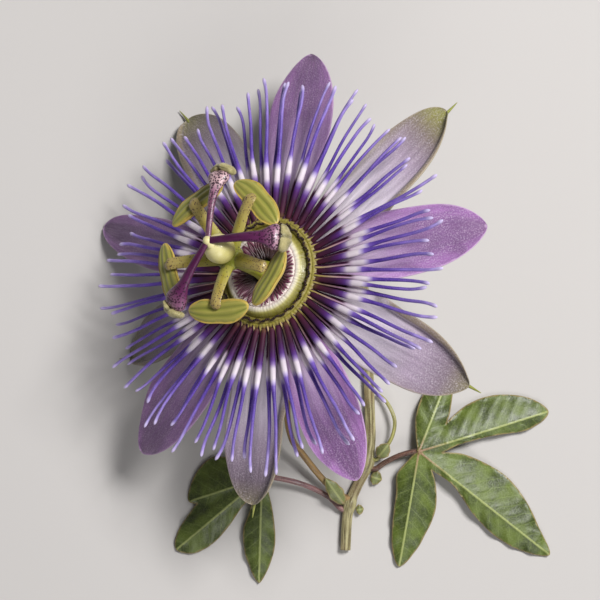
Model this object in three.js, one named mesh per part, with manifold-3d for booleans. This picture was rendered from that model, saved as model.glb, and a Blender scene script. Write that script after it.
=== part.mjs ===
// A passion flower, cut with a short length of its vine and laid down on a table.
//
// Millimetres, +Z up. The origin is the middle of the footprint, on the surface that the
// spray lies on. The flower leans over on three of its tips, with its stalk running back
// down to the vine, and the vine and its two leaves lie on the surface.
import * as THREE from 'three';
import { mergeVertices } from 'three/addons/utils/BufferGeometryUtils.js';
import Module from 'manifold-3d';

const wasm = await Module();
wasm.setup();

// ---------------------------------------------------------------- driving dimensions

const GAP = 0.3; // left between pieces that touch
const BLADE = 0.6; // thickness of petals, sepals and leaves
const DEGREE = Math.PI / 180;

// The flower: its own frame has the ring of filaments at z = 0 and its axis along +z.
const FLOWER = { x: -10.6, y: 9.0, z: 30.71, lean: 33, heading: 158 };

// Petals and sepals: the heading, reach and height of each tip, the greatest width, how far
// the middle line bows sideways, and how far the edges turn up.
const PETAL = { rootRadius: 7.4, rootHeight: -1.5, bend: 1.8, widestAt: 0.55, rootWidth: 0.5, round: 2.4 };
const PETALS = [
  { heading: -68.6, reach: 42.8, drop: -9.1, width: 13.4, bow: -1.7, cup: 0.6 },
  { heading: -146.4, reach: 38.7, drop: -9.1, width: 12.6, bow: -0.2, cup: 0.8 },
  { heading: 134.7, reach: 38.7, drop: -9.1, width: 12.2, bow: 0.7, cup: 0.6 },
  { heading: 66.1, reach: 42.6, drop: -9.1, width: 12.8, bow: 0.4, cup: 0.6 },
  { heading: 4.6, reach: 43.7, drop: -7.7, width: 9.6, bow: 0.4, cup: 0.6 },
];
const SEPAL = { rootRadius: 7.6, rootHeight: -2.6, bend: 1.35, widestAt: 0.5, rootWidth: 0.52, round: 2.2 };
const SEPALS = [
  { heading: -112.8, reach: 41.2, drop: -9.1, width: 12.8, bow: -1.8, cup: 1.5, awn: 1.9 },
  { heading: 172.7, reach: 40.9, drop: -9.1, width: 13.0, bow: 0.2, cup: 1.4, awn: 2.0 },
  { heading: 103.3, reach: 40.1, drop: -9.1, width: 11.2, bow: 0.2, cup: 1.0, awn: 1.9 },
  { heading: 37.2, reach: 40.1, drop: -14.9, width: 11.6, bow: 0.3, cup: 0.8, awn: 1.6 },
  { heading: -29.4, reach: 43.0, drop: -11.2, width: 13.8, bow: -1.2, cup: 0.8, awn: 1.6 },
];
const AWN_RADIUS = 0.45;

// The corona: two rings of filaments, the lower one half a step round from the upper.
const CORONA = {
  perRow: 45,
  rootRadius: 9.7,
  shortest: 32,
  longest: 36.6,
  bandRadius: 18,
  ring: { inner: 9.4, outer: 10.6, top: 0.35, bottom: -1.0 },
  rows: [
    { root: 0.0, arch: 0.8, tip: 0.8 },
    { root: -0.55, arch: 0.2, tip: -0.6 },
  ],
  sides: 3,
  steps: 5,
  width: { root: 0.62, band: 1.0, tip: 0.55 },
};

// The middle of the flower, from the corona's ring inwards.
const CUP = { rimRadius: 8.3, rimTop: -3.5, bossRadius: 6.9, bossTop: -0.9, bottom: -8.6 };
const MEMBRANE = { inner: 8.5, outer: 9.1, bottom: -0.6, low: 0.55, high: 0.95, scallops: 20 };
const DISC = { inner: 5.6, outer: 8.2, bottom: -0.6, rim: 0.7, crown: 2.45 };
const FRINGE = { inner: 4.7, outer: 5.3, bottom: -0.6, top: 2.3, teeth: 32, reach: 2.5, dip: 1.0 };

// The column that carries the stamens and the ovary.
const COLUMN = { foot: 1.9, waist: 1.4, hub: 2.2, bottom: -0.6, top: 13.3, hubHeight: 12.5 };
const STAMEN = { root: 1.2, width: 1.9, thickness: 0.9 };
const ANTHER = { width: 4.2, thickness: 2.1, tilt: 16 };
const ANTHERS = [
  { heading: -33.4, radius: 12.0, height: 13.7, length: 11.8, twist: -1.5, stalk: 12.0, aside: 0 },
  { heading: -100, radius: 10.9, height: 13.7, length: 12.3, twist: -11, stalk: 11.1, aside: 3.5 },
  { heading: 175.3, radius: 10.2, height: 13.7, length: 10.8, twist: -5, stalk: 9.0, aside: 8 },
  { heading: 107, radius: 9.8, height: 13.7, length: 12.2, twist: 5, stalk: 9.2, aside: 1 },
  { heading: 35.3, radius: 11.8, height: 13.7, length: 11.8, twist: 8, stalk: 11.4, aside: -7 },
];
const OVARY = { x: -0.1, y: -0.6, z: 16.5, radius: 2.6, height: 2.85 };
const STYLE_JOINT = { x: 0.5, y: -1.1, z: 19.8, radius: 0.85 };

// Each style leaves the joint, arches over and broadens to its stigma.
const STYLES = [
  { via: [3.0, -8.0, 19.6], end: [4.7, -12.6, 17.9] },
  { via: [-6.6, -4.2, 19.5], end: [-11.4, -6.1, 17.6] },
  { via: [1.8, 4.8, 19.4], end: [3.7, 11.4, 17.4] },
];
const STYLE = { rootRadius: 0.62, endRadius: 1.45 };
const STIGMA = { width: 5.2, depth: 2.4, height: 3.6, notch: 0.35 };

// Three bracts under the cup.
const BRACTS = { count: 3, turn: 20, rootRadius: 1.5, reach: 17, width: 10.5, root: -9.0, tip: -7.4 };

// The vine, and what grows from its two joints. The points are on the middle lines.
const STEM = { radius: 0.95, ridge: 0.1, ribs: 5, steps: 30 };
const STEM_LINE = [
  [3.5, -42.7, 1.0],
  [3.9, -36.2, 1.0],
  [4.6, -33.3, 1.0],
  [5.9, -30.3, 1.0],
  [7.5, -27.1, 1.0],
  [8.2, -22.1, 1.0],
  [8.1, -17.4, 1.0],
  [7.9, -10.8, 1.0],
  [7.4, -1.4, 1.0],
  [6.8, 7.0, 1.0],
];
// The flower's stalk leaves the cup along the flower's axis before it bends to the vine.
const PEDUNCLE = { radius: 0.62, steps: 20, neck: 2.6 };
const PEDUNCLE_LINE = [
  [-3.2, 2.0, 17.4],
  [-4.6, -6.0, 12.4],
  [-7.3, -15.0, 8.8],
  [-6.5, -21.5, 6.8],
  [-4.4, -24.6, 5.0],
  [-0.25, -29.8, 2.9],
  [3.1, -32.7, 1.9],
];
const PETIOLE = { radius: 0.5, steps: 12 };
const PETIOLE_LEFT = [
  [2.75, -35.0, 1.3],
  [0.6, -32.9, 1.7],
  [-2.8, -31.0, 2.2],
  [-6.5, -29.7, 2.8],
  [-10.9, -28.9, 3.0],
];
const PETIOLE_RIGHT = [
  [9.1, -27.5, 1.3],
  [10.9, -26.3, 1.7],
  [13.7, -24.9, 2.4],
  [16.1, -24.2, 2.9],
];
const TENDRIL = { radius: 0.35, steps: 22 };
const TENDRIL_LINE = [
  [9.3, -25.7, 1.6],
  [11.0, -23.6, 2.0],
  [12.3, -21.2, 2.5],
  [12.7, -18.4, 2.6],
  [11.6, -15.5, 2.2],
  [10.2, -13.9, 1.4],
  [9.5, -13.6, 0.9],
];

// Stipules: small leafy scales at the joints, each from its root to its tip.
const STIPULES = [
  { name: 'stipule_left_upper', root: [3.2, -33.9, 3.4], tip: [-0.3, -29.0, 4.8], width: 2.7 },
  { name: 'stipule_left_lower', root: [5.5, -35.2, 1.5], tip: [7.0, -35.0, 1.2], width: 1.8 },
  { name: 'stipule_right_upper', root: [9.6, -25.2, 3.0], tip: [11.6, -22.6, 3.9], width: 2.6 },
  { name: 'stipule_right_lower', root: [8.3, -28.9, 1.3], tip: [10.4, -29.6, 1.0], width: 2.6 },
];

// Leaves: lobes run out from the top of the stalk. Each has a length, a heading and its
// half widths, as [share of the length, width] on its left and on its right side.
const LEAF = { cell: 3, crown: 3.6, tip: 0.75, droop: 0.2 };
const LEAF_RIGHT = {
  at: [17.2, -24.1],
  lobes: [
    {
      length: 15.4,
      heading: 68,
      left: [[0.15, 1.5], [0.4, 3.0], [0.7, 3.0], [0.9, 1.6]],
      right: [[0.1, 1.4], [0.45, 2.9], [0.75, 2.2], [0.92, 1.2]],
    },
    {
      length: 25.6,
      heading: 16.8,
      left: [[0.16, 1.6], [0.28, 3.9], [0.46, 5.7], [0.66, 5.8], [0.9, 3.3]],
      right: [[0.1, 1.5], [0.3, 1.0], [0.56, 1.3], [0.8, 2.2], [0.95, 1.3]],
    },
    {
      length: 31.5,
      heading: -38.4,
      left: [[0.1, 2.3], [0.2, 4.5], [0.33, 5.8], [0.51, 6.5], [0.69, 5.2], [0.85, 2.8]],
      right: [[0.1, 1.2], [0.28, 1.0], [0.5, 3.0], [0.7, 3.6], [0.88, 2.4]],
    },
    {
      length: 22.1,
      heading: -99.3,
      left: [[0.1, 2.4], [0.26, 4.2], [0.48, 5.0], [0.66, 4.1], [0.87, 2.3]],
      right: [[0.08, 1.6], [0.22, 3.3], [0.38, 2.9], [0.65, 2.6], [0.88, 1.7]],
    },
  ],
};
const LEAF_LEFT = {
  at: [-12.1, -28.9],
  lobes: [
    {
      length: 14.6,
      heading: -161,
      left: [[0.15, 1.2], [0.4, 1.6], [0.75, 1.4]],
      right: [[0.12, 2.2], [0.3, 5.0], [0.5, 6.4], [0.7, 5.6], [0.9, 3.0]],
    },
    {
      length: 21.3,
      heading: -139.5,
      left: [[0.12, 1.4], [0.29, 1.8], [0.5, 3.0], [0.7, 3.6], [0.9, 2.7]],
      right: [[0.12, 1.6], [0.3, 2.6], [0.5, 4.2], [0.7, 3.6], [0.9, 2.2]],
    },
    {
      length: 20.1,
      heading: -91.8,
      left: [[0.12, 1.2], [0.4, 2.5], [0.65, 2.8], [0.87, 1.6]],
      right: [[0.12, 1.2], [0.3, 2.0], [0.5, 3.2], [0.7, 2.9], [0.9, 1.4]],
    },
  ],
};

// ---------------------------------------------------------------- solids

function seeded(seed) {
  let state = seed >>> 0;
  return () => {
    state = (state + 0x6d2b79f5) >>> 0;
    let t = state;
    t = Math.imul(t ^ (t >>> 15), t | 1);
    t ^= t + Math.imul(t ^ (t >>> 7), t | 61);
    return ((t ^ (t >>> 14)) >>> 0) / 4294967296;
  };
}

function vec(x, y, z) {
  return new THREE.Vector3(x, y, z);
}

function meshOf(points, triangles) {
  const geometry = new THREE.BufferGeometry();
  const flat = points.flatMap((p) => [p.x, p.y, p.z]);
  geometry.setAttribute('position', new THREE.Float32BufferAttribute(flat, 3));
  geometry.setIndex(triangles.flat());
  return facingOut(geometry);
}

// Turns every triangle over if the closed mesh is inside out.
function facingOut(geometry) {
  const at = geometry.getAttribute('position');
  const index = geometry.getIndex().array;
  const [a, b, c] = [vec(), vec(), vec()];
  let volume = 0;
  for (let i = 0; i < index.length; i += 3) {
    a.fromBufferAttribute(at, index[i]);
    b.fromBufferAttribute(at, index[i + 1]);
    c.fromBufferAttribute(at, index[i + 2]);
    volume += a.dot(b.cross(c));
  }
  if (volume < 0) {
    for (let i = 0; i < index.length; i += 3) {
      [index[i + 1], index[i + 2]] = [index[i + 2], index[i + 1]];
    }
  }
  return geometry;
}

// A closed solid between two sheets of points, with both split into triangles alike.
function sheetSolid(top, bottom) {
  const rows = top.length;
  const columns = top[0].length;
  const size = rows * columns;
  const at = (i, j) => i * columns + j;
  const triangles = [];
  for (let i = 0; i + 1 < rows; i += 1) {
    for (let j = 0; j + 1 < columns; j += 1) {
      const [a, b, c, d] = [at(i, j), at(i + 1, j), at(i + 1, j + 1), at(i, j + 1)];
      triangles.push([a, b, c], [a, c, d]);
      triangles.push([a + size, c + size, b + size], [a + size, d + size, c + size]);
    }
  }
  const rim = [];
  for (let i = 0; i < rows - 1; i += 1) rim.push(at(i, 0));
  for (let j = 0; j < columns - 1; j += 1) rim.push(at(rows - 1, j));
  for (let i = rows - 1; i > 0; i -= 1) rim.push(at(i, columns - 1));
  for (let j = columns - 1; j > 0; j -= 1) rim.push(at(0, j));
  rim.forEach((a, k) => {
    const b = rim[(k + 1) % rim.length];
    triangles.push([a, a + size, b], [b, a + size, b + size]);
  });
  return meshOf([...top.flat(), ...bottom.flat()], triangles);
}

// A closed solid through rings of points. An end that is one point is a tip.
function loft(rings) {
  const points = [];
  const starts = rings.map((ring) => {
    const start = points.length;
    points.push(...(Array.isArray(ring) ? ring : [ring]));
    return start;
  });
  const triangles = [];
  const sides = rings.find((ring) => Array.isArray(ring)).length;
  for (let k = 0; k + 1 < rings.length; k += 1) {
    const [here, next] = [starts[k], starts[k + 1]];
    for (let j = 0; j < sides; j += 1) {
      const n = (j + 1) % sides;
      if (!Array.isArray(rings[k])) triangles.push([here, next + j, next + n]);
      else if (!Array.isArray(rings[k + 1])) triangles.push([here + j, next, here + n]);
      else triangles.push([here + j, next + j, next + n], [here + j, next + n, here + n]);
    }
  }
  [[0, 1], [rings.length - 1, 0]].forEach(([end, turned]) => {
    if (!Array.isArray(rings[end])) return;
    for (let j = 1; j + 1 < sides; j += 1) {
      const fan = [starts[end], starts[end] + j, starts[end] + j + 1];
      triangles.push(turned ? fan : fan.reverse());
    }
  });
  return meshOf(points, triangles);
}

function toManifold(geometry) {
  const bare = geometry.clone();
  ['normal', 'uv'].forEach((name) => bare.deleteAttribute(name));
  const merged = mergeVertices(bare, 1e-5);
  return new wasm.Manifold(
    new wasm.Mesh({
      numProp: 3,
      vertProperties: new Float32Array(merged.getAttribute('position').array),
      triVerts: new Uint32Array(merged.getIndex().array),
    }),
  );
}

function toGeometry(solid) {
  const mesh = solid.getMesh();
  const geometry = new THREE.BufferGeometry();
  geometry.setAttribute('position', new THREE.BufferAttribute(mesh.vertProperties, 3));
  geometry.setIndex(new THREE.BufferAttribute(mesh.triVerts, 1));
  return geometry;
}

function fuse(geometries) {
  return toGeometry(geometries.map(toManifold).reduce((whole, next) => whole.add(next)));
}

// A straight-sided ring or a closed profile turned about z.
function turned(profile, segments) {
  const geometry = new THREE.LatheGeometry(profile.map(([r, z]) => new THREE.Vector2(r, z)), segments);
  geometry.rotateX(90 * DEGREE);
  ['normal', 'uv'].forEach((name) => geometry.deleteAttribute(name));
  return facingOut(mergeVertices(geometry, 1e-5));
}

// A round bar along a line of points, with ribs if the ridge is over 0.
function bar(line, { radius, steps, ridge = 0, ribs = 4 }) {
  const section = new THREE.Shape();
  const sides = 2 * ribs;
  for (let k = 0; k < sides; k += 1) {
    const r = radius - (k % 2) * ridge;
    const angle = (k * 2 * Math.PI) / sides;
    const [x, y] = [r * Math.cos(angle), r * Math.sin(angle)];
    if (k === 0) section.moveTo(x, y);
    else section.lineTo(x, y);
  }
  section.closePath();
  const extrudePath = new THREE.CatmullRomCurve3(line.map(([x, y, z]) => vec(x, y, z)));
  const geometry = new THREE.ExtrudeGeometry(section, { steps, extrudePath });
  ['normal', 'uv'].forEach((name) => geometry.deleteAttribute(name));
  return facingOut(mergeVertices(geometry, 1e-5));
}

// ---------------------------------------------------------------- petals and sepals

// Half the width at a share s of the length: broadening from the root, round at the tip.
function halfWidth(s, { width, widestAt, rootWidth, round }) {
  if (s < widestAt) {
    const ease = Math.sin((s / widestAt) * 90 * DEGREE);
    return (width / 2) * (rootWidth + (1 - rootWidth) * ease);
  }
  const t = (s - widestAt) / (1 - widestAt);
  return (width / 2) * Math.pow(1 - Math.pow(t, round), 0.66);
}

// The middle line of a petal in its own upright plane: how far out and how high.
function middleLine(s, { rootRadius, rootHeight, reach, drop, bend }) {
  const out = rootRadius + (reach - rootRadius) * s;
  const high = rootHeight + (drop - rootHeight) * Math.pow(s, bend);
  return [out, high];
}

function bladePoint(s, side, sunk, shape) {
  const [out, high] = middleLine(s, shape);
  const step = 0.01;
  const [nextOut, nextHigh] = middleLine(s + step, shape);
  const slope = Math.atan2(nextHigh - high, nextOut - out);
  const half = Math.max(halfWidth(s, shape), 0.35);
  const lift = shape.cup * side * side * s * s * s - sunk;
  const across = half * side + 4 * shape.bow * s * (1 - s);
  const radial = out - lift * Math.sin(slope);
  const [cos, sin] = [Math.cos(shape.heading * DEGREE), Math.sin(shape.heading * DEGREE)];
  return vec(radial * cos - across * sin, radial * sin + across * cos, high + lift * Math.cos(slope));
}

function blade(shape, lengthwise = 9, crosswise = 4) {
  const sheets = [0, BLADE].map((sunk) => {
    const rows = [];
    for (let i = 0; i <= lengthwise; i += 1) {
      const s = Math.sin((i / lengthwise) * 90 * DEGREE);
      const row = [];
      for (let j = 0; j <= crosswise; j += 1) {
        row.push(bladePoint(s, (2 * j) / crosswise - 1, sunk, shape));
      }
      rows.push(row);
    }
    return rows;
  });
  return sheetSolid(sheets[0], sheets[1]);
}

// The green horn that stands out of the back of a sepal, just before its tip.
function awn(shape) {
  const root = bladePoint(0.95, 0, BLADE / 2, shape);
  const tip = bladePoint(1, 0, BLADE / 2, shape);
  const outward = tip.clone().setZ(0).normalize();
  const along = outward.multiplyScalar(shape.awn + 0.4).add(vec(0, 0, 0.25));
  const ring = [];
  for (let k = 0; k < 4; k += 1) {
    const angle = k * 90 * DEGREE;
    const sideways = vec(-along.y, along.x, 0).normalize();
    const offset = sideways.multiplyScalar(AWN_RADIUS * Math.cos(angle));
    ring.push(root.clone().add(offset).add(vec(0, 0, AWN_RADIUS * Math.sin(angle))));
  }
  return loft([ring, tip.clone().add(along)]);
}

function petal(place) {
  return blade({ ...PETAL, ...place });
}

function sepal(place) {
  const shape = { ...SEPAL, ...place };
  return fuse([blade(shape), awn(shape)]);
}

// ---------------------------------------------------------------- corona

function filamentWidth(radius, length) {
  const { root, band, tip } = CORONA.width;
  if (radius < CORONA.bandRadius) {
    const share = (radius - CORONA.rootRadius) / (CORONA.bandRadius - CORONA.rootRadius);
    return root + (band - root) * share;
  }
  const share = (radius - CORONA.bandRadius) / (length - CORONA.bandRadius);
  return band + (tip - band) * share;
}

// A three-sided needle: up to the white band it rises, and then it bows over to its tip.
function filament(heading, length, row, sway) {
  const rings = [];
  for (let k = 0; k <= CORONA.steps; k += 1) {
    const s = k / CORONA.steps;
    const radius = CORONA.rootRadius + (length - CORONA.rootRadius) * s;
    const height = row.root + row.arch * Math.sin(s * Math.PI) + (row.tip - row.root) * s * s;
    const angle = heading * DEGREE + (sway * s * s) / radius;
    const half = filamentWidth(radius, length) / 2;
    const middle = vec(radius * Math.cos(angle), radius * Math.sin(angle), height);
    const sideways = vec(-Math.sin(angle), Math.cos(angle), 0);
    const ring = [];
    for (let j = 0; j < CORONA.sides; j += 1) {
      const turn = (j / CORONA.sides) * 2 * Math.PI + 90 * DEGREE;
      const offset = sideways.clone().multiplyScalar(half * 1.1 * Math.cos(turn));
      ring.push(middle.clone().add(offset).add(vec(0, 0, half * 0.8 * Math.sin(turn))));
    }
    rings.push(ring);
  }
  return loft(rings);
}

function corona() {
  const random = seeded(17);
  const { inner, outer, top, bottom } = CORONA.ring;
  const solids = [turned([[inner, bottom], [outer, bottom], [outer, top], [inner, top], [inner, bottom]], 45)];
  CORONA.rows.forEach((row, order) => {
    for (let k = 0; k < CORONA.perRow; k += 1) {
      const step = 360 / CORONA.perRow;
      const heading = (k + order / 2) * step + (random() - 0.5) * 0.2 * step;
      const length = CORONA.shortest + (CORONA.longest - CORONA.shortest) * random();
      const sway = (random() - 0.5) * 2.4;
      solids.push(filament(heading, length, row, sway));
    }
  });
  return fuse(solids);
}

// ---------------------------------------------------------------- the middle of the flower

function cup() {
  const { rimRadius, rimTop, bossRadius, bossTop, bottom } = CUP;
  return turned(
    [
      [0, bottom],
      [1.4, bottom],
      [3.4, bottom + 0.7],
      [6.2, bottom + 2.3],
      [rimRadius - 0.3, rimTop - 0.9],
      [rimRadius, rimTop],
      [bossRadius, rimTop],
      [bossRadius, bossTop],
      [0, bossTop],
    ],
    30,
  );
}

// The frilled membrane: a thin ring whose upper edge goes up and down in small scallops.
function membrane() {
  const { inner, outer, bottom, low, high, scallops } = MEMBRANE;
  const rings = [];
  for (let k = 0; k < 2 * scallops; k += 1) {
    const angle = (k / (2 * scallops)) * 2 * Math.PI;
    const edge = k % 2 ? high : low;
    const corner = (r, z) => vec(r * Math.cos(angle), r * Math.sin(angle), z);
    rings.push([corner(inner, bottom), corner(outer, bottom), corner(outer, edge), corner(inner, edge)]);
  }
  return closedRing(rings);
}

// Rings of points joined end to end, so that the last meets the first.
function closedRing(rings) {
  const sides = rings[0].length;
  const triangles = [];
  rings.forEach((ring, k) => {
    const [here, next] = [k * sides, ((k + 1) % rings.length) * sides];
    for (let j = 0; j < sides; j += 1) {
      const n = (j + 1) % sides;
      triangles.push([here + j, next + j, next + n], [here + j, next + n, here + n]);
    }
  });
  return meshOf(rings.flat(), triangles);
}

// The domed disc: a low green rim that rises to a round white shoulder.
function disc() {
  const { inner, outer, bottom, rim, crown } = DISC;
  return turned(
    [
      [inner, bottom],
      [outer, bottom],
      [outer, rim],
      [outer - 0.7, rim + 0.75],
      [outer - 1.5, crown - 0.3],
      [inner + 0.4, crown],
      [inner, crown - 0.15],
      [inner, bottom],
    ],
    36,
  );
}

// The purple fringe: fine teeth that lean in over the hollow round the column.
function fringe() {
  const { inner, outer, bottom, top, teeth, reach, dip } = FRINGE;
  const solids = [turned([[inner, bottom], [outer, bottom], [outer, top], [inner, top - 0.3], [inner, bottom]], teeth)];
  const root = (inner + outer) / 2;
  for (let k = 0; k < teeth; k += 1) {
    const angle = (k / teeth) * 2 * Math.PI;
    const [cos, sin] = [Math.cos(angle), Math.sin(angle)];
    const ring = [-1, 0, 1].map((side) => {
      const [across, z] = [side * 0.32, side === 0 ? top - 0.1 : top - 0.75];
      return vec(root * cos - across * sin, root * sin + across * cos, z);
    });
    solids.push(loft([ring, vec(reach * cos, reach * sin, top - dip)]));
  }
  return fuse(solids);
}

// ---------------------------------------------------------------- column, stamens, pistil

// The frame of an anther: its middle, the way out from the column, and the way along it.
function antherFrame({ heading, radius, height, twist }) {
  const outward = vec(Math.cos(heading * DEGREE), Math.sin(heading * DEGREE), 0);
  const up = vec(0, 0, 1).applyAxisAngle(vec(-outward.y, outward.x, 0), ANTHER.tilt * DEGREE);
  const along = vec(-outward.y, outward.x, 0).applyAxisAngle(up, twist * DEGREE);
  const across = along.clone().cross(up);
  return { middle: outward.clone().multiplyScalar(radius).setZ(height), up, along, across };
}

// A long pod with a groove down its upper face.
function anther(place) {
  const { middle, up, along, across } = antherFrame(place);
  const section = [
    [1, 0], [0.8, 0.7], [0.35, 1], [0, 0.8], [-0.35, 1], [-0.8, 0.7], [-1, 0], [-0.6, -0.85], [0.6, -0.85],
  ];
  const rings = [];
  const steps = 8;
  for (let k = 0; k <= steps; k += 1) {
    const s = (2 * k) / steps - 1;
    const swell = Math.pow(1 - Math.pow(Math.abs(s) * 0.98, 3), 0.5);
    const bow = -0.6 * s * s;
    rings.push(
      section.map(([c, t]) =>
        middle
          .clone()
          .addScaledVector(along, (s * place.length) / 2)
          .addScaledVector(across, bow + (c * swell * ANTHER.width) / 2)
          .addScaledVector(up, (t * swell * ANTHER.thickness) / 2),
      ),
    );
  }
  return loft(rings);
}

// A flat strap from inside the hub to the middle of its anther, clear above it.
function stamenStrap(place) {
  const heading = (place.heading + place.aside) * DEGREE;
  const outward = vec(Math.cos(heading), Math.sin(heading), 0);
  const sideways = vec(-outward.y, outward.x, 0);
  const seat = place.height + ANTHER.thickness / 2 + GAP + STAMEN.thickness / 2;
  const rings = [];
  const steps = 4;
  for (let k = 0; k <= steps; k += 1) {
    const s = k / steps;
    const radius = STAMEN.root + (place.stalk - STAMEN.root) * s;
    const height = COLUMN.hubHeight + (seat - COLUMN.hubHeight) * Math.sin(s * 90 * DEGREE);
    const half = (STAMEN.width / 2) * (1 - 0.3 * s);
    const middle = outward.clone().multiplyScalar(radius).setZ(height);
    const corner = (across, up) => middle.clone().addScaledVector(sideways, across).add(vec(0, 0, up));
    const thick = (STAMEN.thickness / 2) * (1 - 0.25 * s);
    rings.push([corner(half, 0), corner(0, thick), corner(-half, 0), corner(0, -thick)]);
  }
  return loft(rings);
}

function column() {
  const { foot, waist, hub, bottom, top, hubHeight } = COLUMN;
  const shaft = turned(
    [
      [0, bottom],
      [foot, bottom],
      [foot, bottom + 1],
      [waist, 5],
      [waist, 10],
      [hub, hubHeight - 0.5],
      [hub, hubHeight + 0.4],
      [waist, top],
      [0, top],
    ],
    16,
  );
  return fuse([shaft, ...ANTHERS.map(stamenStrap)]);
}

// The ovary with the knob where the three styles meet.
function ovary() {
  const { x, y, z, radius, height } = OVARY;
  const body = new THREE.SphereGeometry(1, 16, 12).rotateX(90 * DEGREE);
  body.scale(radius, radius, height).translate(x, y, z);
  const joint = STYLE_JOINT;
  const knob = new THREE.SphereGeometry(joint.radius, 10, 8).translate(joint.x, joint.y, joint.z);
  const neckRings = [
    [x, y, z + height - 0.9],
    [joint.x, joint.y, joint.z],
  ].map(([cx, cy, cz]) =>
    [0, 1, 2, 3, 4, 5].map((k) => {
      const angle = k * 60 * DEGREE;
      return vec(cx + 0.75 * Math.cos(angle), cy + 0.75 * Math.sin(angle), cz);
    }),
  );
  return fuse([body, knob, loft(neckRings)]);
}

function styleCurve({ via, end }) {
  const joint = vec(STYLE_JOINT.x, STYLE_JOINT.y, STYLE_JOINT.z);
  const toward = vec(...via).sub(joint).normalize();
  const start = joint.addScaledVector(toward, STYLE_JOINT.radius + GAP + 0.1);
  return new THREE.CatmullRomCurve3([start, vec(...via), vec(...end)]);
}

function style(place) {
  const curve = styleCurve(place);
  const steps = 6;
  const rings = [];
  for (let k = 0; k <= steps; k += 1) {
    const s = k / steps;
    const tangent = curve.getTangentAt(s);
    const sideways = vec(-tangent.y, tangent.x, 0).normalize();
    const up = tangent.clone().cross(sideways).negate();
    const radius = STYLE.rootRadius + (STYLE.endRadius - STYLE.rootRadius) * Math.pow(s, 1.6);
    const ring = [];
    for (let j = 0; j < 7; j += 1) {
      const angle = (j / 7) * 2 * Math.PI;
      ring.push(
        curve
          .getPointAt(s)
          .addScaledVector(sideways, radius * Math.cos(angle))
          .addScaledVector(up, 0.85 * radius * Math.sin(angle)),
      );
    }
    rings.push(ring);
  }
  return loft(rings);
}

// A kidney-shaped cap across the end of a style, notched where the style meets it.
function stigma(place) {
  const curve = styleCurve(place);
  const ahead = curve.getTangentAt(1).setZ(0).normalize();
  const sideways = vec(-ahead.y, ahead.x, 0);
  const middle = curve.getPointAt(1).addScaledVector(ahead, STIGMA.depth / 2 + GAP + 0.35);
  const geometry = new THREE.SphereGeometry(1, 12, 8);
  const at = geometry.getAttribute('position');
  const p = vec();
  for (let i = 0; i < at.count; i += 1) {
    p.fromBufferAttribute(at, i);
    const side = (p.x * STIGMA.width) / 2;
    const back = Math.abs(side) * 0.28;
    const notch = p.y < 0 ? STIGMA.notch * (1 - p.x * p.x) : 0;
    const depth = (p.y * STIGMA.depth) / 2 - back + notch;
    const placed = middle
      .clone()
      .addScaledVector(sideways, side)
      .addScaledVector(ahead, depth)
      .add(vec(0, 0, (p.z * STIGMA.height) / 2));
    at.setXYZ(i, placed.x, placed.y, placed.z);
  }
  ['normal', 'uv'].forEach((name) => geometry.deleteAttribute(name));
  return facingOut(mergeVertices(geometry, 1e-5));
}

// ---------------------------------------------------------------- leaves

// A pointed blade from one place to another, arched along and across.
function scale({ root, tip, width, arch = 0.35 }, lengthwise = 5, crosswise = 2) {
  const [from, to] = [vec(...root), vec(...tip)];
  const sideways = vec(from.y - to.y, to.x - from.x, 0).normalize();
  const sheets = [0, -BLADE].map((sunk) => {
    const rows = [];
    for (let i = 0; i <= lengthwise; i += 1) {
      const s = i / lengthwise;
      const half = (width / 2) * Math.max(Math.pow(Math.sin(Math.pow(s, 0.8) * 180 * DEGREE), 0.7), 0.22);
      const row = [];
      for (let j = 0; j <= crosswise; j += 1) {
        const side = (2 * j) / crosswise - 1;
        const lift = arch * Math.sin(s * 180 * DEGREE) - 0.12 * width * side * side + sunk;
        row.push(from.clone().lerp(to, s).addScaledVector(sideways, side * half).add(vec(0, 0, lift)));
      }
      rows.push(row);
    }
    return rows;
  });
  return sheetSolid(sheets[0], sheets[1]);
}

// The outline of one lobe, a smooth curve up its right side, round the tip and back.
function lobePrism({ length, heading, left, right }, height) {
  const [cos, sin] = [Math.cos(heading * DEGREE), Math.sin(heading * DEGREE)];
  const place = (share, across) => {
    const along = share * length;
    return new THREE.Vector2(along * cos - across * sin, along * sin + across * cos);
  };
  const points = [
    place(-0.02, 0),
    ...right.map(([share, width]) => place(share, -width)),
    place(1, 0),
    ...[...left].reverse().map(([share, width]) => place(share, width)),
  ];
  const outline = new THREE.Shape(new THREE.SplineCurve([...points, points[0]]).getPoints(26).slice(0, -1));
  return new THREE.ExtrudeGeometry(outline, { depth: height, bevelEnabled: false });
}

// How high the leaf lies: high at the crown, down at the tips, and lower away from a midrib.
function leafHeight(x, y, lobes) {
  let best = { off: Infinity, share: 0 };
  lobes.forEach(({ length, heading }) => {
    const [cos, sin] = [Math.cos(heading * DEGREE), Math.sin(heading * DEGREE)];
    const along = Math.min(Math.max(x * cos + y * sin, 0), length);
    const off = Math.hypot(x - along * cos, y - along * sin);
    if (off < best.off) best = { off, share: along / length };
  });
  const ridge = LEAF.crown + (LEAF.tip - LEAF.crown) * Math.pow(best.share, 1.8);
  return Math.max(ridge - LEAF.droop * best.off, 0.62);
}

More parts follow.
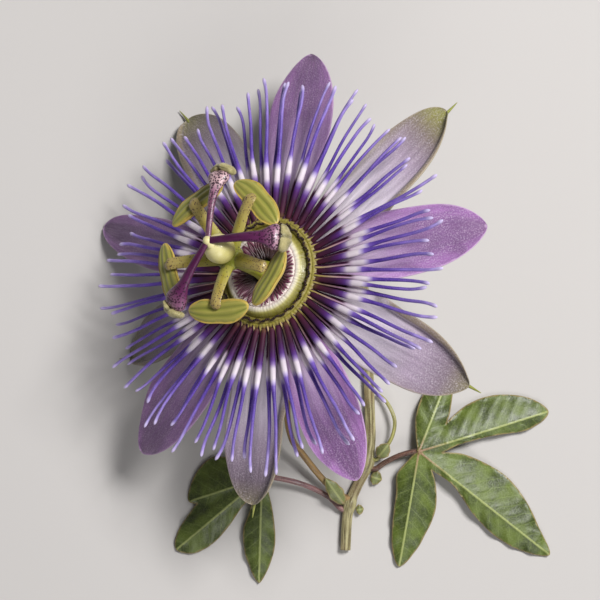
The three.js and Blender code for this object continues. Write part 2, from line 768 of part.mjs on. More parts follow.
function leaf({ at, lobes }) {
  const reach = Math.max(...lobes.map(({ length }) => length)) + 2 * LEAF.cell;
  const cells = Math.ceil((2 * reach) / LEAF.cell);
  const sheets = [0, BLADE].map((sunk) => {
    const rows = [];
    for (let i = 0; i <= cells; i += 1) {
      const row = [];
      for (let j = 0; j <= cells; j += 1) {
        const [x, y] = [-reach + i * LEAF.cell, -reach + j * LEAF.cell];
        row.push(vec(x, y, leafHeight(x, y, lobes) - sunk));
      }
      rows.push(row);
    }
    return rows;
  });
  const outline = fuse(lobes.map((lobe) => lobePrism(lobe, 2 * LEAF.crown).translate(0, 0, -0.5 * LEAF.crown)));
  const blank = toManifold(sheetSolid(sheets[0], sheets[1]));
  const geometry = toGeometry(blank.intersect(toManifold(outline)));
  return geometry.translate(at[0], at[1], 0);
}

// ---------------------------------------------------------------- the whole spray

const FINISH = {
  petal: { color: 0xa98bc0, roughness: 0.6 },
  sepal: { color: 0xa79bae, roughness: 0.6 },
  corona: { color: 0x5b46a8, roughness: 0.55 },
  disc: { color: 0xd9dcb8, roughness: 0.5 },
  membrane: { color: 0x2a1524, roughness: 0.6 },
  fringe: { color: 0x5a1f4d, roughness: 0.6 },
  column: { color: 0xa8b04c, roughness: 0.55 },
  anther: { color: 0x9aa53f, roughness: 0.6 },
  ovary: { color: 0xc9cf8e, roughness: 0.45 },
  style: { color: 0x6a2f57, roughness: 0.55 },
  stigma: { color: 0xb5b374, roughness: 0.5 },
  cup: { color: 0x7f8f4e, roughness: 0.6 },
  stem: { color: 0x6f7c46, roughness: 0.6 },
  petiole: { color: 0x7a5442, roughness: 0.6 },
  leaf: { color: 0x44642c, roughness: 0.45 },
};

function piece(name, finish, geometry) {
  const mesh = new THREE.Mesh(geometry, new THREE.MeshStandardMaterial({ ...FINISH[finish], metalness: 0 }));
  mesh.name = name;
  return mesh;
}

function flower() {
  const group = new THREE.Group();
  group.position.set(FLOWER.x, FLOWER.y, FLOWER.z);
  group.rotation.set(0, FLOWER.lean * DEGREE, FLOWER.heading * DEGREE, 'ZYX');
  group.add(piece('calyx_cup', 'cup', cup()));
  SEPALS.forEach((place, k) => group.add(piece(`sepal_${k + 1}`, 'sepal', sepal(place))));
  PETALS.forEach((place, k) => group.add(piece(`petal_${k + 1}`, 'petal', petal(place))));
  group.add(piece('corona', 'corona', corona()));
  group.add(piece('membrane', 'membrane', membrane()));
  group.add(piece('disc', 'disc', disc()));
  group.add(piece('inner_fringe', 'fringe', fringe()));
  group.add(piece('column', 'column', column()));
  ANTHERS.forEach((place, k) => group.add(piece(`anther_${k + 1}`, 'anther', anther(place))));
  group.add(piece('ovary', 'ovary', ovary()));
  STYLES.forEach((place, k) => {
    group.add(piece(`style_${k + 1}`, 'style', style(place)));
    group.add(piece(`stigma_${k + 1}`, 'stigma', stigma(place)));
  });
  for (let k = 0; k < BRACTS.count; k += 1) {
    const heading = (BRACTS.turn + (k * 360) / BRACTS.count) * DEGREE;
    const place = (radius, z) => [radius * Math.cos(heading), radius * Math.sin(heading), z];
    const root = place(BRACTS.rootRadius, BRACTS.root);
    const tip = place(BRACTS.reach, BRACTS.tip);
    group.add(piece(`bract_${k + 1}`, 'leaf', scale({ root, tip, width: BRACTS.width, arch: -0.8 }, 7, 4)));
  }
  return group;
}

// A place on the flower's axis, in the frame of the whole spray.
function onAxis(z) {
  const turn = new THREE.Euler(0, FLOWER.lean * DEGREE, FLOWER.heading * DEGREE, 'ZYX');
  return vec(0, 0, z).applyEuler(turn).add(vec(FLOWER.x, FLOWER.y, FLOWER.z)).toArray();
}

function vine() {
  const group = new THREE.Group();
  const seat = CUP.bottom - GAP;
  const stalk = [onAxis(seat), onAxis(seat - PEDUNCLE.neck), ...PEDUNCLE_LINE];
  group.add(piece('stem', 'stem', bar(STEM_LINE, STEM)));
  group.add(piece('peduncle', 'petiole', bar(stalk, PEDUNCLE)));
  group.add(piece('petiole_left', 'petiole', bar(PETIOLE_LEFT, PETIOLE)));
  group.add(piece('petiole_right', 'petiole', bar(PETIOLE_RIGHT, PETIOLE)));
  group.add(piece('tendril', 'stem', bar(TENDRIL_LINE, TENDRIL)));
  STIPULES.forEach((place) => group.add(piece(place.name, 'leaf', scale(place))));
  group.add(piece('leaf_left', 'leaf', leaf(LEAF_LEFT)));
  group.add(piece('leaf_right', 'leaf', leaf(LEAF_RIGHT)));
  return group;
}

const spray = new THREE.Group();
spray.add(flower(), vine());

export default spray;
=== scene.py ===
# %% [markdown]
# # A passion flower on a cut length of its vine
#
# The construction of this flower is fixed before the lesson starts: every piece has its size
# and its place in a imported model. The model is loaded first, and nothing in it is moved. The
# lesson then builds the looks over it, one piece at a time, in the same frame: the middle of
# the footprint is the origin, and +z is up.

import math

import bmesh
import bpy
import numpy as np
from mathutils import Euler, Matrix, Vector, geometry


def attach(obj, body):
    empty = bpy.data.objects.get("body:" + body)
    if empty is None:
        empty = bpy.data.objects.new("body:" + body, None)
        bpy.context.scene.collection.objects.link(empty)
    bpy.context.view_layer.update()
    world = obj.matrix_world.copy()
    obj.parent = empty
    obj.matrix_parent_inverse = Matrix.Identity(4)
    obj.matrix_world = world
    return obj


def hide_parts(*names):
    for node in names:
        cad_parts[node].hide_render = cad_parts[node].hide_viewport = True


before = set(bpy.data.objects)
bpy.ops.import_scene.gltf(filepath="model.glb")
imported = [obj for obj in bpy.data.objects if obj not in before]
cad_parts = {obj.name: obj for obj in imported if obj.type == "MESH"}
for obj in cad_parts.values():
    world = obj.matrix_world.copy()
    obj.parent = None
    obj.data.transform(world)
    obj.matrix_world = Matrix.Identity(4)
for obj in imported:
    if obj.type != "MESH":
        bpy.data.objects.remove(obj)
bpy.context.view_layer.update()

# %% [markdown]
# ## Camera, table and light
#
# The spray lies on a plain pale table and is seen from straight above with a long lens, as on
# a copy stand. One large soft light stands high above the far right, so that every raised edge
# has a bright and a dark side. A weaker one fills from the near side, and a pale room does the rest.
# The alternative, an even dome of light, would leave the thin petals flat.

# %% Lights and room
MM = 0.001
DEGREE = math.pi / 180
LIGHTS = {
    "key light": dict(place=(0.27, 0.27, 0.66), power=6.6, size=0.2),
    "fill light": dict(place=(0.15, -0.50, 0.50), power=1.6, size=0.4),
}
LIGHTS_AIM = Vector((0, 0, 0.02))
ROOM = dict(colour="e6e8ee", strength=0.14)


def srgb(code):
    """The linear colour of a hex code such as 'a98bc0'."""
    shares = [int(code[k : k + 2], 16) / 255 for k in (0, 2, 4)]
    linear = [c / 12.92 if c < 0.04045 else ((c + 0.055) / 1.055) ** 2.4 for c in shares]
    return (*linear, 1.0)


def add_light(name, place, power, size):
    """A square soft light at a place in metres, turned to the middle of the spray."""
    lamp = bpy.data.lights.new(name, "AREA")
    lamp.energy = power
    lamp.size = size
    stand = bpy.data.objects.new(name, lamp)
    stand.location = place
    stand.rotation_euler = (LIGHTS_AIM - Vector(place)).to_track_quat("-Z", "Y").to_euler()
    bpy.context.scene.collection.objects.link(stand)
    print(f"{name}: {power} W, {size} m wide, at {place}")


for name, light in LIGHTS.items():
    add_light(name, **light)
world = bpy.data.worlds.new("pale room")
world.use_nodes = True
background = world.node_tree.nodes["Background"].inputs
background["Color"].default_value = srgb(ROOM["colour"])
background["Strength"].default_value = ROOM["strength"]
bpy.context.scene.world = world

# %% Camera and table
CAMERA = dict(place=(-5.0, 4.2, 450.5), lens=143.64, sensor=36.0)
TABLE = dict(side=6, height=-0.05, colour="c2bebb", roughness=0.9)

lens = bpy.data.cameras.new("camera")
lens.lens = CAMERA["lens"]
lens.sensor_width = CAMERA["sensor"]
camera = bpy.data.objects.new("camera", lens)
camera.location = Vector(CAMERA["place"]) * MM
bpy.context.scene.collection.objects.link(camera)
bpy.context.scene.camera = camera
bpy.context.scene.view_settings.view_transform = "Standard"

bpy.ops.mesh.primitive_plane_add(size=TABLE["side"], location=(0, 0, TABLE["height"] * MM))
table = bpy.context.object
table.name = "table"
table_paint = bpy.data.materials.new("pale table")
table_paint.use_nodes = True
table_shader = table_paint.node_tree.nodes["Principled BSDF"].inputs
table_shader["Base Color"].default_value = srgb(TABLE["colour"])
table_shader["Roughness"].default_value = TABLE["roughness"]
table.data.materials.append(table_paint)
print("camera at", tuple(camera.location), "with a lens of", lens.lens, "mm")

# %% [markdown]
# ## Tools for shaping
#
# Flowers are made of sheets and rods, so two tools do nearly all of the work: a sheet is a
# grid of points with a back a third of a millimetre behind it, and a rod is a row of rings
# along a line. Both keep *facts* with every point, such as how far along the petal it lies,
# and the materials read these to know where a colour belongs. Painting by facts was chosen
# over painting by position, because every petal then takes the same finish however it lies.

# %% Forms
FLOWER_PLACE = np.array([-10.6, 9.0, 30.71])
FLOWER_LEAN, FLOWER_HEADING = 33, 158
FLOWER_TURN = np.array(Euler((0, FLOWER_LEAN * DEGREE, FLOWER_HEADING * DEGREE)).to_matrix())


def in_flower(points):
    """Moves points from the flower's own frame, with its axis along +z, to where it stands."""
    return np.asarray(points) @ FLOWER_TURN.T + FLOWER_PLACE


def form(points, faces, **facts):
    """Points in millimetres, the faces between them, and one fact or more for each point."""
    points = np.asarray(points, float).reshape(-1, 3)
    spread = {}
    for label, values in facts.items():
        values = np.asarray(values, float)
        spread[label] = values if values.ndim == 2 else np.broadcast_to(values, len(points)).copy()
    return {"points": points, "faces": list(faces), "facts": spread}


def merged(forms):
    """One form out of several that keep the same facts."""
    faces, start = [], 0
    for one in forms:
        faces += [tuple(int(k) + start for k in face) for face in one["faces"]]
        start += len(one["points"])
    points = np.concatenate([one["points"] for one in forms])
    labels = forms[0]["facts"]
    facts = {label: np.concatenate([one["facts"][label] for one in forms]) for label in labels}
    return form(points, faces, **facts)


def placed(shape):
    """A form made in the flower's own frame, moved to where the flower stands."""
    return {**shape, "points": in_flower(shape["points"])}


print("the flower stands at", FLOWER_PLACE.tolist(), "mm and leans", FLOWER_LEAN, "degrees")


# %% Pieces made of forms
def keep_facts(mesh, facts):
    """Writes each fact as an attribute of the mesh's points, for the materials to read."""
    for label, values in facts.items():
        vector = values.ndim == 2
        layer = mesh.attributes.new(label, "FLOAT_VECTOR" if vector else "FLOAT", "POINT")
        layer.data.foreach_set("vector" if vector else "value", values.astype("f").ravel())


def make_piece(name, shape, material, stands_for, smoother=0):
    """A mesh object in metres that rides on the root body, dressed, and hides the parts that it stands
    for.
    """
    mesh = bpy.data.meshes.new(name)
    mesh.from_pydata((shape["points"] * MM).tolist(), [], shape["faces"])
    keep_facts(mesh, shape["facts"])
    shell = bmesh.new()
    shell.from_mesh(mesh)
    bmesh.ops.recalc_face_normals(shell, faces=shell.faces)
    shell.to_mesh(mesh)
    shell.free()
    mesh.polygons.foreach_set("use_smooth", [True] * len(mesh.polygons))
    mesh.materials.append(material)
    piece = bpy.data.objects.new(name, mesh)
    bpy.context.scene.collection.objects.link(piece)
    if smoother:
        subdivision = piece.modifiers.new("smoother", "SUBSURF")
        subdivision.levels = smoother
        subdivision.render_levels = smoother
    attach(piece, "root")
    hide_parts(*stands_for)
    print(f"{name}: {len(mesh.vertices)} points, {len(mesh.polygons)} faces")


solids = [thing for thing in bpy.data.objects if thing.type == "MESH" and thing != table]
print("solids in the fixed model:", len(solids))


# %% Sheets
def grid_faces(rows, columns, start=0, wrap=False):
    """Quads over a grid of points, which closes on itself crosswise if it wraps."""
    faces = []
    for i in range(rows - 1):
        for j in range(columns if wrap else columns - 1):
            n = (j + 1) % columns
            a, b = start + i * columns, start + (i + 1) * columns
            faces.append((a + j, b + j, b + n, a + n))
    return faces


def sheet(top, bottom, **facts):
    """A closed form between two grids of points. A pair of grids is a fact for the top and the back."""
    rows, columns = top.shape[:2]
    size = rows * columns
    faces = grid_faces(rows, columns) + [face[::-1] for face in grid_faces(rows, columns, size)]
    rim = [(i, 0) for i in range(rows - 1)]
    rim += [(rows - 1, j) for j in range(columns - 1)]
    rim += [(i, columns - 1) for i in range(rows - 1, 0, -1)]
    rim += [(0, j) for j in range(columns - 1, 0, -1)]
    loop = [i * columns + j for i, j in rim]
    faces += [(a, a + size, b + size, b) for a, b in zip(loop, loop[1:] + loop[:1])]
    both = {}
    for label, values in facts.items():
        pair = values if isinstance(values, tuple) else (values, values)
        depth = (3,) if np.ndim(pair[0]) == 3 else ()
        full = [np.broadcast_to(one, (rows, columns) + depth) for one in pair]
        both[label] = np.concatenate([one.reshape((size,) + depth) for one in full])
    return form(np.concatenate([top.reshape(-1, 3), bottom.reshape(-1, 3)]), faces, **both)


print("faces of a grid of 3 by 3 points:", len(grid_faces(3, 3)))


# %% Curves
def smooth_line(points, count):
    """A curve through points, evenly stepped from point to point, that never overshoots."""
    points = np.asarray(points, float)
    ends = [2 * points[0] - points[1], *points, 2 * points[-1] - points[-2]]
    line = []
    for t in np.linspace(0, len(points) - 1, count):
        k = min(int(t), len(points) - 2)
        a, b, c, d = ends[k : k + 4]
        gaps = [max(np.sqrt(np.linalg.norm(q - p)), 1e-4) for p, q in ((a, b), (b, c), (c, d))]
        leave = ((b - a) / gaps[0] - (c - a) / (gaps[0] + gaps[1]) + (c - b) / gaps[1]) * gaps[1]
        reach = ((c - b) / gaps[1] - (d - b) / (gaps[1] + gaps[2]) + (d - c) / gaps[2]) * gaps[1]
        u = t - k
        rise = 3 * u * u - 2 * u**3
        line.append(b + (c - b) * rise + leave * (u - 2 * u * u + u**3) + reach * (u**3 - u * u))
    return np.array(line)


def carried_frame(line, level):
    """For each point of a line, the ways along it, sideways and up, with no sudden twist."""
    along = np.gradient(line, axis=0)
    along /= np.linalg.norm(along, axis=1)[:, None]
    up = np.cross(along[0], level)
    sideways, ups = [], []
    for way in along:
        up = up - way * np.dot(up, way)
        up /= np.linalg.norm(up)
        ups.append(up)
        sideways.append(np.cross(up, way))
    return along, np.array(sideways), np.array(ups)


def length_of(line):
    """The length of a line through points."""
    return float(np.linalg.norm(np.diff(line, axis=0), axis=1).sum())


def circle(sides):
    """The angles of evenly spaced points round a ring."""
    return np.arange(sides) * 2 * math.pi / sides


def around(radius, angle, high):
    """Points at a distance from the axis, at an angle round it and at a height."""
    x, y = radius * np.cos(angle), radius * np.sin(angle)
    return np.stack(np.broadcast_arrays(x, y, high), axis=-1)


def compass(heading):
    """The cosine and the sine of a heading in degrees."""
    return math.cos(heading * DEGREE), math.sin(heading * DEGREE)


bend = smooth_line([[0, 0, 0], [10, 0, 0], [10, 10, 0]], 21)
print("a smooth bend through three corners is", round(length_of(bend), 2), "mm long")


# %% Rods
ANY_LEVEL = (0.31, 0.95, 0.05)  # a way that no line of the flower or the vine runs along


def loft(rings, **facts):
    """A closed form through rings of points. Each end is drawn together to one point."""
    count, sides = rings.shape[:2]
    points = np.concatenate([rings.reshape(-1, 3), [rings[0].mean(0)], [rings[-1].mean(0)]])
    first, last = count * sides, count * sides + 1
    faces = grid_faces(count, sides, wrap=True)
    faces += [(first, j, (j + 1) % sides) for j in range(sides)]
    base = (count - 1) * sides
    faces += [(last, base + (j + 1) % sides, base + j) for j in range(sides)]
    spread = {}
    for label, values in facts.items():
        values = np.asarray(values, float)
        if values.ndim == 3:
            ends = [[values[0].mean(0)], [values[-1].mean(0)]]
            spread[label] = np.concatenate([values.reshape(-1, 3), *ends])
            continue
        by_ring = values[:, None] if values.ndim == 1 else values
        full = np.broadcast_to(by_ring, (count, sides))
        spread[label] = np.concatenate([full.ravel(), [full[0].mean()], [full[-1].mean()]])
    return form(points, faces, **spread)


def rod(line, radii, sides=10, flat=1.0, ribs=0, rib=0.0, level=ANY_LEVEL, **facts):
    """A rod of changing radius along a line, flattened or ribbed if asked. Level is its sideways."""
    radii = np.broadcast_to(np.asarray(radii, float), len(line))
    along, sideways, up = carried_frame(line, level)
    angle = circle(sides)
    swell = 1 + np.asarray(rib).reshape(-1, 1) * np.cos(ribs * angle)
    across = (radii[:, None] * swell * np.cos(angle))[..., None]
    high = (radii[:, None] * swell * np.sin(angle) * np.asarray(flat).reshape(-1, 1))[..., None]
    rings = line[:, None] + across * sideways[:, None] + high * up[:, None]
    steps = np.concatenate([[0], np.cumsum(np.linalg.norm(np.diff(line, axis=0), axis=1))])
    run = np.broadcast_to(steps[:, None], (len(line), sides))
    wrapped = np.stack([run, across[..., 0], high[..., 0]], axis=-1)
    return loft(rings, flat=wrapped, **facts)


def round_ends(count, start=2, end=3, blunt=0.25):
    """Shares of the full radius that round off the first and the last few rings of a rod."""
    shares = np.ones(count)
    shares[:start] = np.sin(np.linspace(blunt, 1, start, endpoint=False) * math.pi / 2)
    shares[count - end :] = np.sin(np.linspace(1, blunt, end) * math.pi / 2)
    return shares


print("shares of the radius at the ends of a short rod:", round_ends(6).round(2).tolist())

# %% Soft steps and seeded chance
WORD = 0xFFFFFFFF  # the generator counts in 32 bits
STRIDE = 0x6D2B79F5


def smoothstep(value, low, high):
    """0 below low, 1 above high, and a soft step between."""
    t = np.clip((value - low) / (high - low), 0, 1)
    return t * t * (3 - 2 * t)


def hill(value, width, middle=0.0):
    """1 at the middle, falling softly to both sides over a width."""
    return np.exp(-(((value - middle) / width) ** 2))


def seeded(seed):
    """The same small generator as the model uses, so that the filaments fall where its own do."""
    state = seed

    def draw():
        nonlocal state
        state = (state + STRIDE) & WORD
        mixed = ((state ^ (state >> 15)) * (state | 1)) & WORD
        mixed ^= (mixed + (((mixed ^ (mixed >> 7)) * (mixed | 61)) & WORD)) & WORD
        return ((mixed ^ (mixed >> 14)) & WORD) / (WORD + 1)

    return draw


sample = seeded(17)
print("first draws of the seeded generator:", round(sample(), 4), round(sample(), 4))

# %% [markdown]
# ## Tools for painting
#
# Every material below is a small net of nodes. Building such a net by hand is slow to read, so
# short helpers place a node, a noise, a ramp of colours or a glaze: a colour laid over the one
# below it through a mask. The effects that more than one material needs are node groups, built
# once: a fine grain with painted glints, pale specks that stand for light caught by its tiny
# domes, the streaks that run along every fibre, the specks on the column and the styles, the
# paler edge of a blade, and the veins of a leaf.

# %% Node helpers
def feed(tree, socket, value):
    """Joins a socket to another one, or sets it to a plain value."""
    if isinstance(value, bpy.types.NodeSocket):
        tree.links.new(value, socket)
    else:
        socket.default_value = value


def put(tree, kind, inputs=None, **settings):
    """A new node with its settings made and its inputs fed."""
    node = tree.nodes.new("ShaderNode" + kind)
    for setting, value in settings.items():
        setattr(node, setting, value)
    for socket, value in (inputs or {}).items():
        feed(tree, node.inputs[socket], value)
    return node


def fact(tree, name):
    """The number that each point keeps under a name."""
    return put(tree, "Attribute", attribute_name=name).outputs["Fac"]


def flat_place(tree):
    """The place on the unrolled surface, in millimetres: along, across and up."""
    return put(tree, "Attribute", attribute_name="flat").outputs["Vector"]


def place_mm(tree):
    """The place in space, in millimetres."""
    spot = put(tree, "TexCoord").outputs["Object"]
    return vector_maths(tree, "MULTIPLY", spot, (1 / MM,) * 3)


def maths(tree, operation, a, b=0.0, clamp=False):
    """A sum, product or other result of two numbers."""
    return put(tree, "Math", {0: a, 1: b}, operation=operation, use_clamp=clamp).outputs[0]


def vector_maths(tree, operation, a, b):
    """The same for two vectors."""
    return put(tree, "VectorMath", {0: a, 1: b}, operation=operation).outputs[0]


def between(tree, value, low, high, to_low=0.0, to_high=1.0):
    """A soft step from one value to another while the input goes from low to high."""
    inputs = {0: value, 1: low, 2: high, 3: to_low, 4: to_high}
    return put(tree, "MapRange", inputs, interpolation_type="SMOOTHSTEP").outputs[0]


def varied(tree, mask, low, high):
    """A value that goes from low to high with a mask, for a roughness that isn't the same all over."""
    return between(tree, mask, 0.0, 1.0, low, high)


def noise(tree, vector, scale, detail=3.0):
    """A cloudy noise, with so many clouds in a millimetre."""
    return put(tree, "TexNoise", {"Vector": vector, "Scale": scale, "Detail": detail}).outputs["Fac"]


print("node helpers work in millimetres:", round(1 / MM), "to the metre")


# %% Colours and materials
def mix(tree, share, a, b):
    """The colour b laid over the colour a by a share."""
    return put(tree, "Mix", {0: share, 6: a, 7: b}, data_type="RGBA").outputs[2]


def glaze(tree, body, code, mask, depth=1.0):
    """A colour laid over the body where the mask is, as deep as asked."""
    share = mask if depth == 1.0 else maths(tree, "MULTIPLY", mask, depth)
    return mix(tree, share, body, srgb(code))


def ramp(tree, value, stops):
    """A row of colours along a number from 0 to 1, as (place, hex code)."""
    node = put(tree, "ValToRGB", {0: value})
    for k, (place, code) in enumerate(stops):
        stop = node.color_ramp.elements[k] if k < 2 else node.color_ramp.elements.new(place)
        stop.position, stop.color = place, srgb(code)
    return node.outputs["Color"]


def new_material(name, roughness, **constants):
    """A material whose one shader takes plain constants. Gives its tree and the shader's inputs."""
    material = bpy.data.materials.new(name)
    material.use_nodes = True
    shader = material.node_tree.nodes["Principled BSDF"].inputs
    shader["Roughness"].default_value = roughness
    for socket, value in constants.items():
        shader[socket.replace("_", " ")].default_value = value
    return material, material.node_tree, shader


def dress(tree, shader, body, rough, *layers):
    """Feeds the shader a colour, a roughness if it varies, and layers of height, strength and depth."""
    feed(tree, shader["Base Color"], body)
    if rough is not None:
        feed(tree, shader["Roughness"], rough)
    below = {}
    for height, strength, depth in layers:
        inputs = {"Height": height, "Strength": strength, "Distance": depth * MM, **below}
        below = {"Normal": put(tree, "Bump", inputs).outputs["Normal"]}
    feed(tree, shader["Normal"], below["Normal"])


print("the hex code a98bc0 in linear light:", [round(share, 3) for share in srgb("a98bc0")])


# %% Node groups
def new_group(name, inputs, outputs):
    """An empty node group with named inputs, each a type and a default, and named outputs."""
    group = bpy.data.node_groups.new(name, "ShaderNodeTree")
    for socket_name, (kind, default) in inputs.items():
        socket = group.interface.new_socket(socket_name, in_out="INPUT", socket_type="NodeSocket" + kind)
        if default is not None:
            socket.default_value = default
    for socket_name, kind in outputs.items():
        group.interface.new_socket(socket_name, in_out="OUTPUT", socket_type="NodeSocket" + kind)
    start = group.nodes.new("NodeGroupInput")
    finish = group.nodes.new("NodeGroupOutput")
    return group, start.outputs, finish.inputs


def use(tree, group, **inputs):
    """A copy of a group in a material, with its own values."""
    node = tree.nodes.new("ShaderNodeGroup")
    node.node_tree = group
    for socket, value in inputs.items():
        feed(tree, node.inputs[socket.replace("_", " ")], value)
    return node.outputs


def sockets_of(group):
    """The names of a group's inputs and outputs, to print."""
    return [item.name for item in group.interface.items_tree]


# %% Grain and painted glints
def grain_and_painted_glints():
    """Uneven grains, like damp sugar, with clouds of more and fewer: painted glints on their tops, and
    their height.
    """
    group, given, made = new_group(
        "grain and painted glints",
        {"Vector": ("Vector", None), "Cells per mm": ("Float", 3.0)},
        {"Painted glint": "Float", "Height": "Float"},
    )
    grain = noise(group, given["Vector"], given["Cells per mm"], 4.0)
    cloud = between(group, noise(group, given["Vector"], 0.5, 2.0), 0.3, 0.7, 0.45, 1.0)
    feed(group, made["Painted glint"], maths(group, "MULTIPLY", between(group, grain, 0.42, 0.70), cloud))
    feed(group, made["Height"], between(group, grain, 0.3, 0.75))
    return group


GRAIN_AND_GLINT = grain_and_painted_glints()
print(GRAIN_AND_GLINT.name, sockets_of(GRAIN_AND_GLINT))


# %% Fibre streaks
def fibre_streaks():
    """Long soft streaks along the first axis of the vector."""
    group, given, made = new_group(
        "fibre streaks",
        {"Vector": ("Vector", None), "Stretch": ("Float", 8.0), "Streaks per mm": ("Float", 2.0)},
        {"Streak": "Float"},
    )
    shrink = maths(group, "DIVIDE", 1.0, given["Stretch"])
    scale = put(group, "CombineXYZ", {0: shrink, 1: 1.0, 2: 1.0}).outputs[0]
    drawn = vector_maths(group, "MULTIPLY", given["Vector"], scale)
    streak = noise(group, drawn, given["Streaks per mm"], 3.0)
    feed(group, made["Streak"], between(group, streak, 0.32, 0.68))
    return group


STREAKS = fibre_streaks()
print(STREAKS.name, sockets_of(STREAKS))


def streaks(tree, vector, stretch, per_mm):
    """The streaks as a mask, so many to the millimetre across and so many times as long."""
    return use(tree, STREAKS, Vector=vector, Stretch=stretch, Streaks_per_mm=per_mm)["Streak"]


# %% Fine specks
def fine_specks():
    """Small dark specks with soft rims: a mask. Share is how many of the cells have one."""
    group, given, made = new_group(
        "fine specks",
        {
            "Vector": ("Vector", None),
            "Specks per mm": ("Float", 2.0),
            "Share": ("Float", 0.5),
            "Size": ("Float", 0.3),
        },
        {"Mask": "Float"},
    )
    shake = put(group, "TexNoise", {"Vector": given["Vector"], "Scale": 3.0}).outputs["Color"]
    shake = vector_maths(group, "MULTIPLY", shake, (0.22, 0.22, 0.22))
    spot = vector_maths(group, "ADD", given["Vector"], shake)
    cells = put(group, "TexVoronoi", {"Vector": spot, "Scale": given["Specks per mm"]})
    lot = put(group, "SeparateColor", {0: cells.outputs["Color"]}).outputs["Green"]
    rim = maths(group, "ADD", given["Size"], 0.08)
    inside = between(group, cells.outputs["Distance"], rim, given["Size"])
    chosen = maths(group, "LESS_THAN", lot, given["Share"])
    feed(group, made["Mask"], maths(group, "MULTIPLY", inside, chosen))
    return group


SPECKS = fine_specks()
print(SPECKS.name, sockets_of(SPECKS))


# %% The margin of a blade
def blade_margin():
    """A mask that is 1 at the margin of a blade and fades inwards, with an uneven border."""
    group, given, made = new_group(
        "blade margin",
        {"Vector": ("Vector", None), "Distance": ("Float", 1.0), "Width": ("Float", 0.5)},
        {"Mask": "Float"},
    )
    uneven = between(group, noise(group, given["Vector"], 0.9), 0.3, 0.7, 0.6, 1.4)
    border = maths(group, "MULTIPLY", given["Width"], uneven)
    inwards = maths(group, "DIVIDE", given["Distance"], border)
    feed(group, made["Mask"], between(group, inwards, 1.0, 0.25))
    return group


MARGIN = blade_margin()
print(MARGIN.name, sockets_of(MARGIN))


def margin_mask(tree, vector, width):
    """The margin as a mask, so many millimetres wide."""
    return use(tree, MARGIN, Vector=vector, Distance=fact(tree, "margin"), Width=width)["Mask"]


# %% Leaf veins
def leaf_veins():
    """Side veins that leave the midrib at a slant, and a fine net between them."""
    group, given, made = new_group(
        "leaf veins",
        {
            "Vector": ("Vector", None),
            "Slant": ("Float", 0.0),
            "Rib": ("Float", 0.0),
            "Spacing": ("Float", 2.2),
        },
        {"Mask": "Float", "Height": "Float"},
    )
    waver = maths(group, "MULTIPLY", noise(group, given["Vector"], 0.35, 1.0), 1.6)
    turns = maths(group, "DIVIDE", maths(group, "ADD", given["Slant"], waver), given["Spacing"])
    side = maths(group, "PINGPONG", turns, 0.5)
    side_vein = between(group, side, 0.06, 0.0)
    midrib = between(group, given["Rib"], 0.32, 0.08)
    net = put(group, "TexVoronoi", {"Vector": given["Vector"], "Scale": 1.5}, feature="DISTANCE_TO_EDGE")
    net_vein = between(group, net.outputs["Distance"], 0.07, 0.0, 0.0, 0.45)
    mask = maths(group, "MAXIMUM", maths(group, "MAXIMUM", side_vein, midrib), net_vein)
    pillow = between(group, net.outputs["Distance"], 0.0, 0.35, 0.0, 0.6)
    field = between(group, side, 0.0, 0.3)
    feed(group, made["Mask"], mask)
    feed(group, made["Height"], maths(group, "ADD", pillow, field))
    return group


VEINS = leaf_veins()
print(VEINS.name, sockets_of(VEINS))

# %% [markdown]
# ## Petals and sepals
#
# The flower opens ten blades in a ring: five petals, lilac all through, and five sepals, green
# and keeled at the back, silvery lilac in front, each with a small green horn behind its tip.
# Both are the same kind of form. A middle line falls from the cup to the tip, a width grows
# and closes along it, and the margins turn up. Modelling one and copying it would be quicker,
# but real blades differ, so each has its own numbers: where its tip lies, how wide it is, how
# it bows sideways, how its margins turn up and roll, how green it is, and how much painted
# shade darkens it where it lies on the shaded side of the flower.

# %% The numbers of ten blades
BLADE = dict(rows=46, columns=26, top=0.10, back=0.44, ripple=0.028, flutter=0.38, crown=0.30)
PETAL = dict(
    root_radius=7.4, root_height=-1.5, drop=-9.1, bend=1.8, widest_at=0.55, root_width=0.5, round=2.4,
    cup=0.6, dim=0.0, olive=0.0, keel=0.0, roll=0, roll_height=0.0,
)
# The darkening number of each petal is painted shade, larger for the petals on the shaded side.
PETALS = [
    dict(heading=-68.6, reach=42.8, width=13.4, bow=-1.7, dim=0.2, pink=0.5, phase=0.1),
    dict(heading=-146.4, reach=38.7, width=12.6, bow=-0.2, cup=0.8, pink=0.6, phase=2.0),
    dict(heading=134.7, reach=38.7, width=12.2, bow=0.7, pink=0.9, phase=3.3),
    dict(heading=66.1, reach=42.6, width=12.8, bow=0.4, dim=0.5, pink=0.6, phase=4.9),
    dict(heading=4.6, reach=43.7, drop=-7.7, width=9.6, bow=0.4, dim=0.55, pink=0.9, phase=1.2),
]
SEPAL = dict(
    root_radius=7.6, root_height=-2.6, drop=-9.1, bend=1.35, widest_at=0.5, root_width=0.52, round=2.6,
    cup=0.8, dim=0.0, pink=0.0, keel=0.7, roll=1, roll_height=1.1, curl=0.5,
)
# The darkening number of each sepal is painted shade, larger for the sepals on the shaded side.
SEPALS = [
    dict(heading=-112.8, reach=41.2, width=12.8, bow=-1.8, olive=0.9, phase=0.7,
         cup=1.5, roll=-1, round=3.2),
    dict(heading=172.7, reach=40.9, width=13.0, bow=0.2, olive=0.25, phase=2.6, cup=1.4),
    dict(heading=103.3, reach=40.1, width=13.2, bow=0.2, olive=0.2, phase=5.1,
         cup=1.0, dim=0.1, round=4.0),
    dict(heading=37.2, reach=40.1, width=11.6, bow=0.3, olive=0.8, phase=3.9,
         drop=-14.9, dim=0.6, curl=2.7),
    dict(heading=-29.4, reach=43.0, width=13.8, bow=-1.2, olive=0.6, phase=1.9,
         drop=-11.2, dim=0.35, curl=2.4),
]
BACK_PATTERN = 9.0  # how far the pattern of the back lies from that of the front
for rows in (PETALS, SEPALS):
    print("widths in mm:", [blade["width"] for blade in rows])


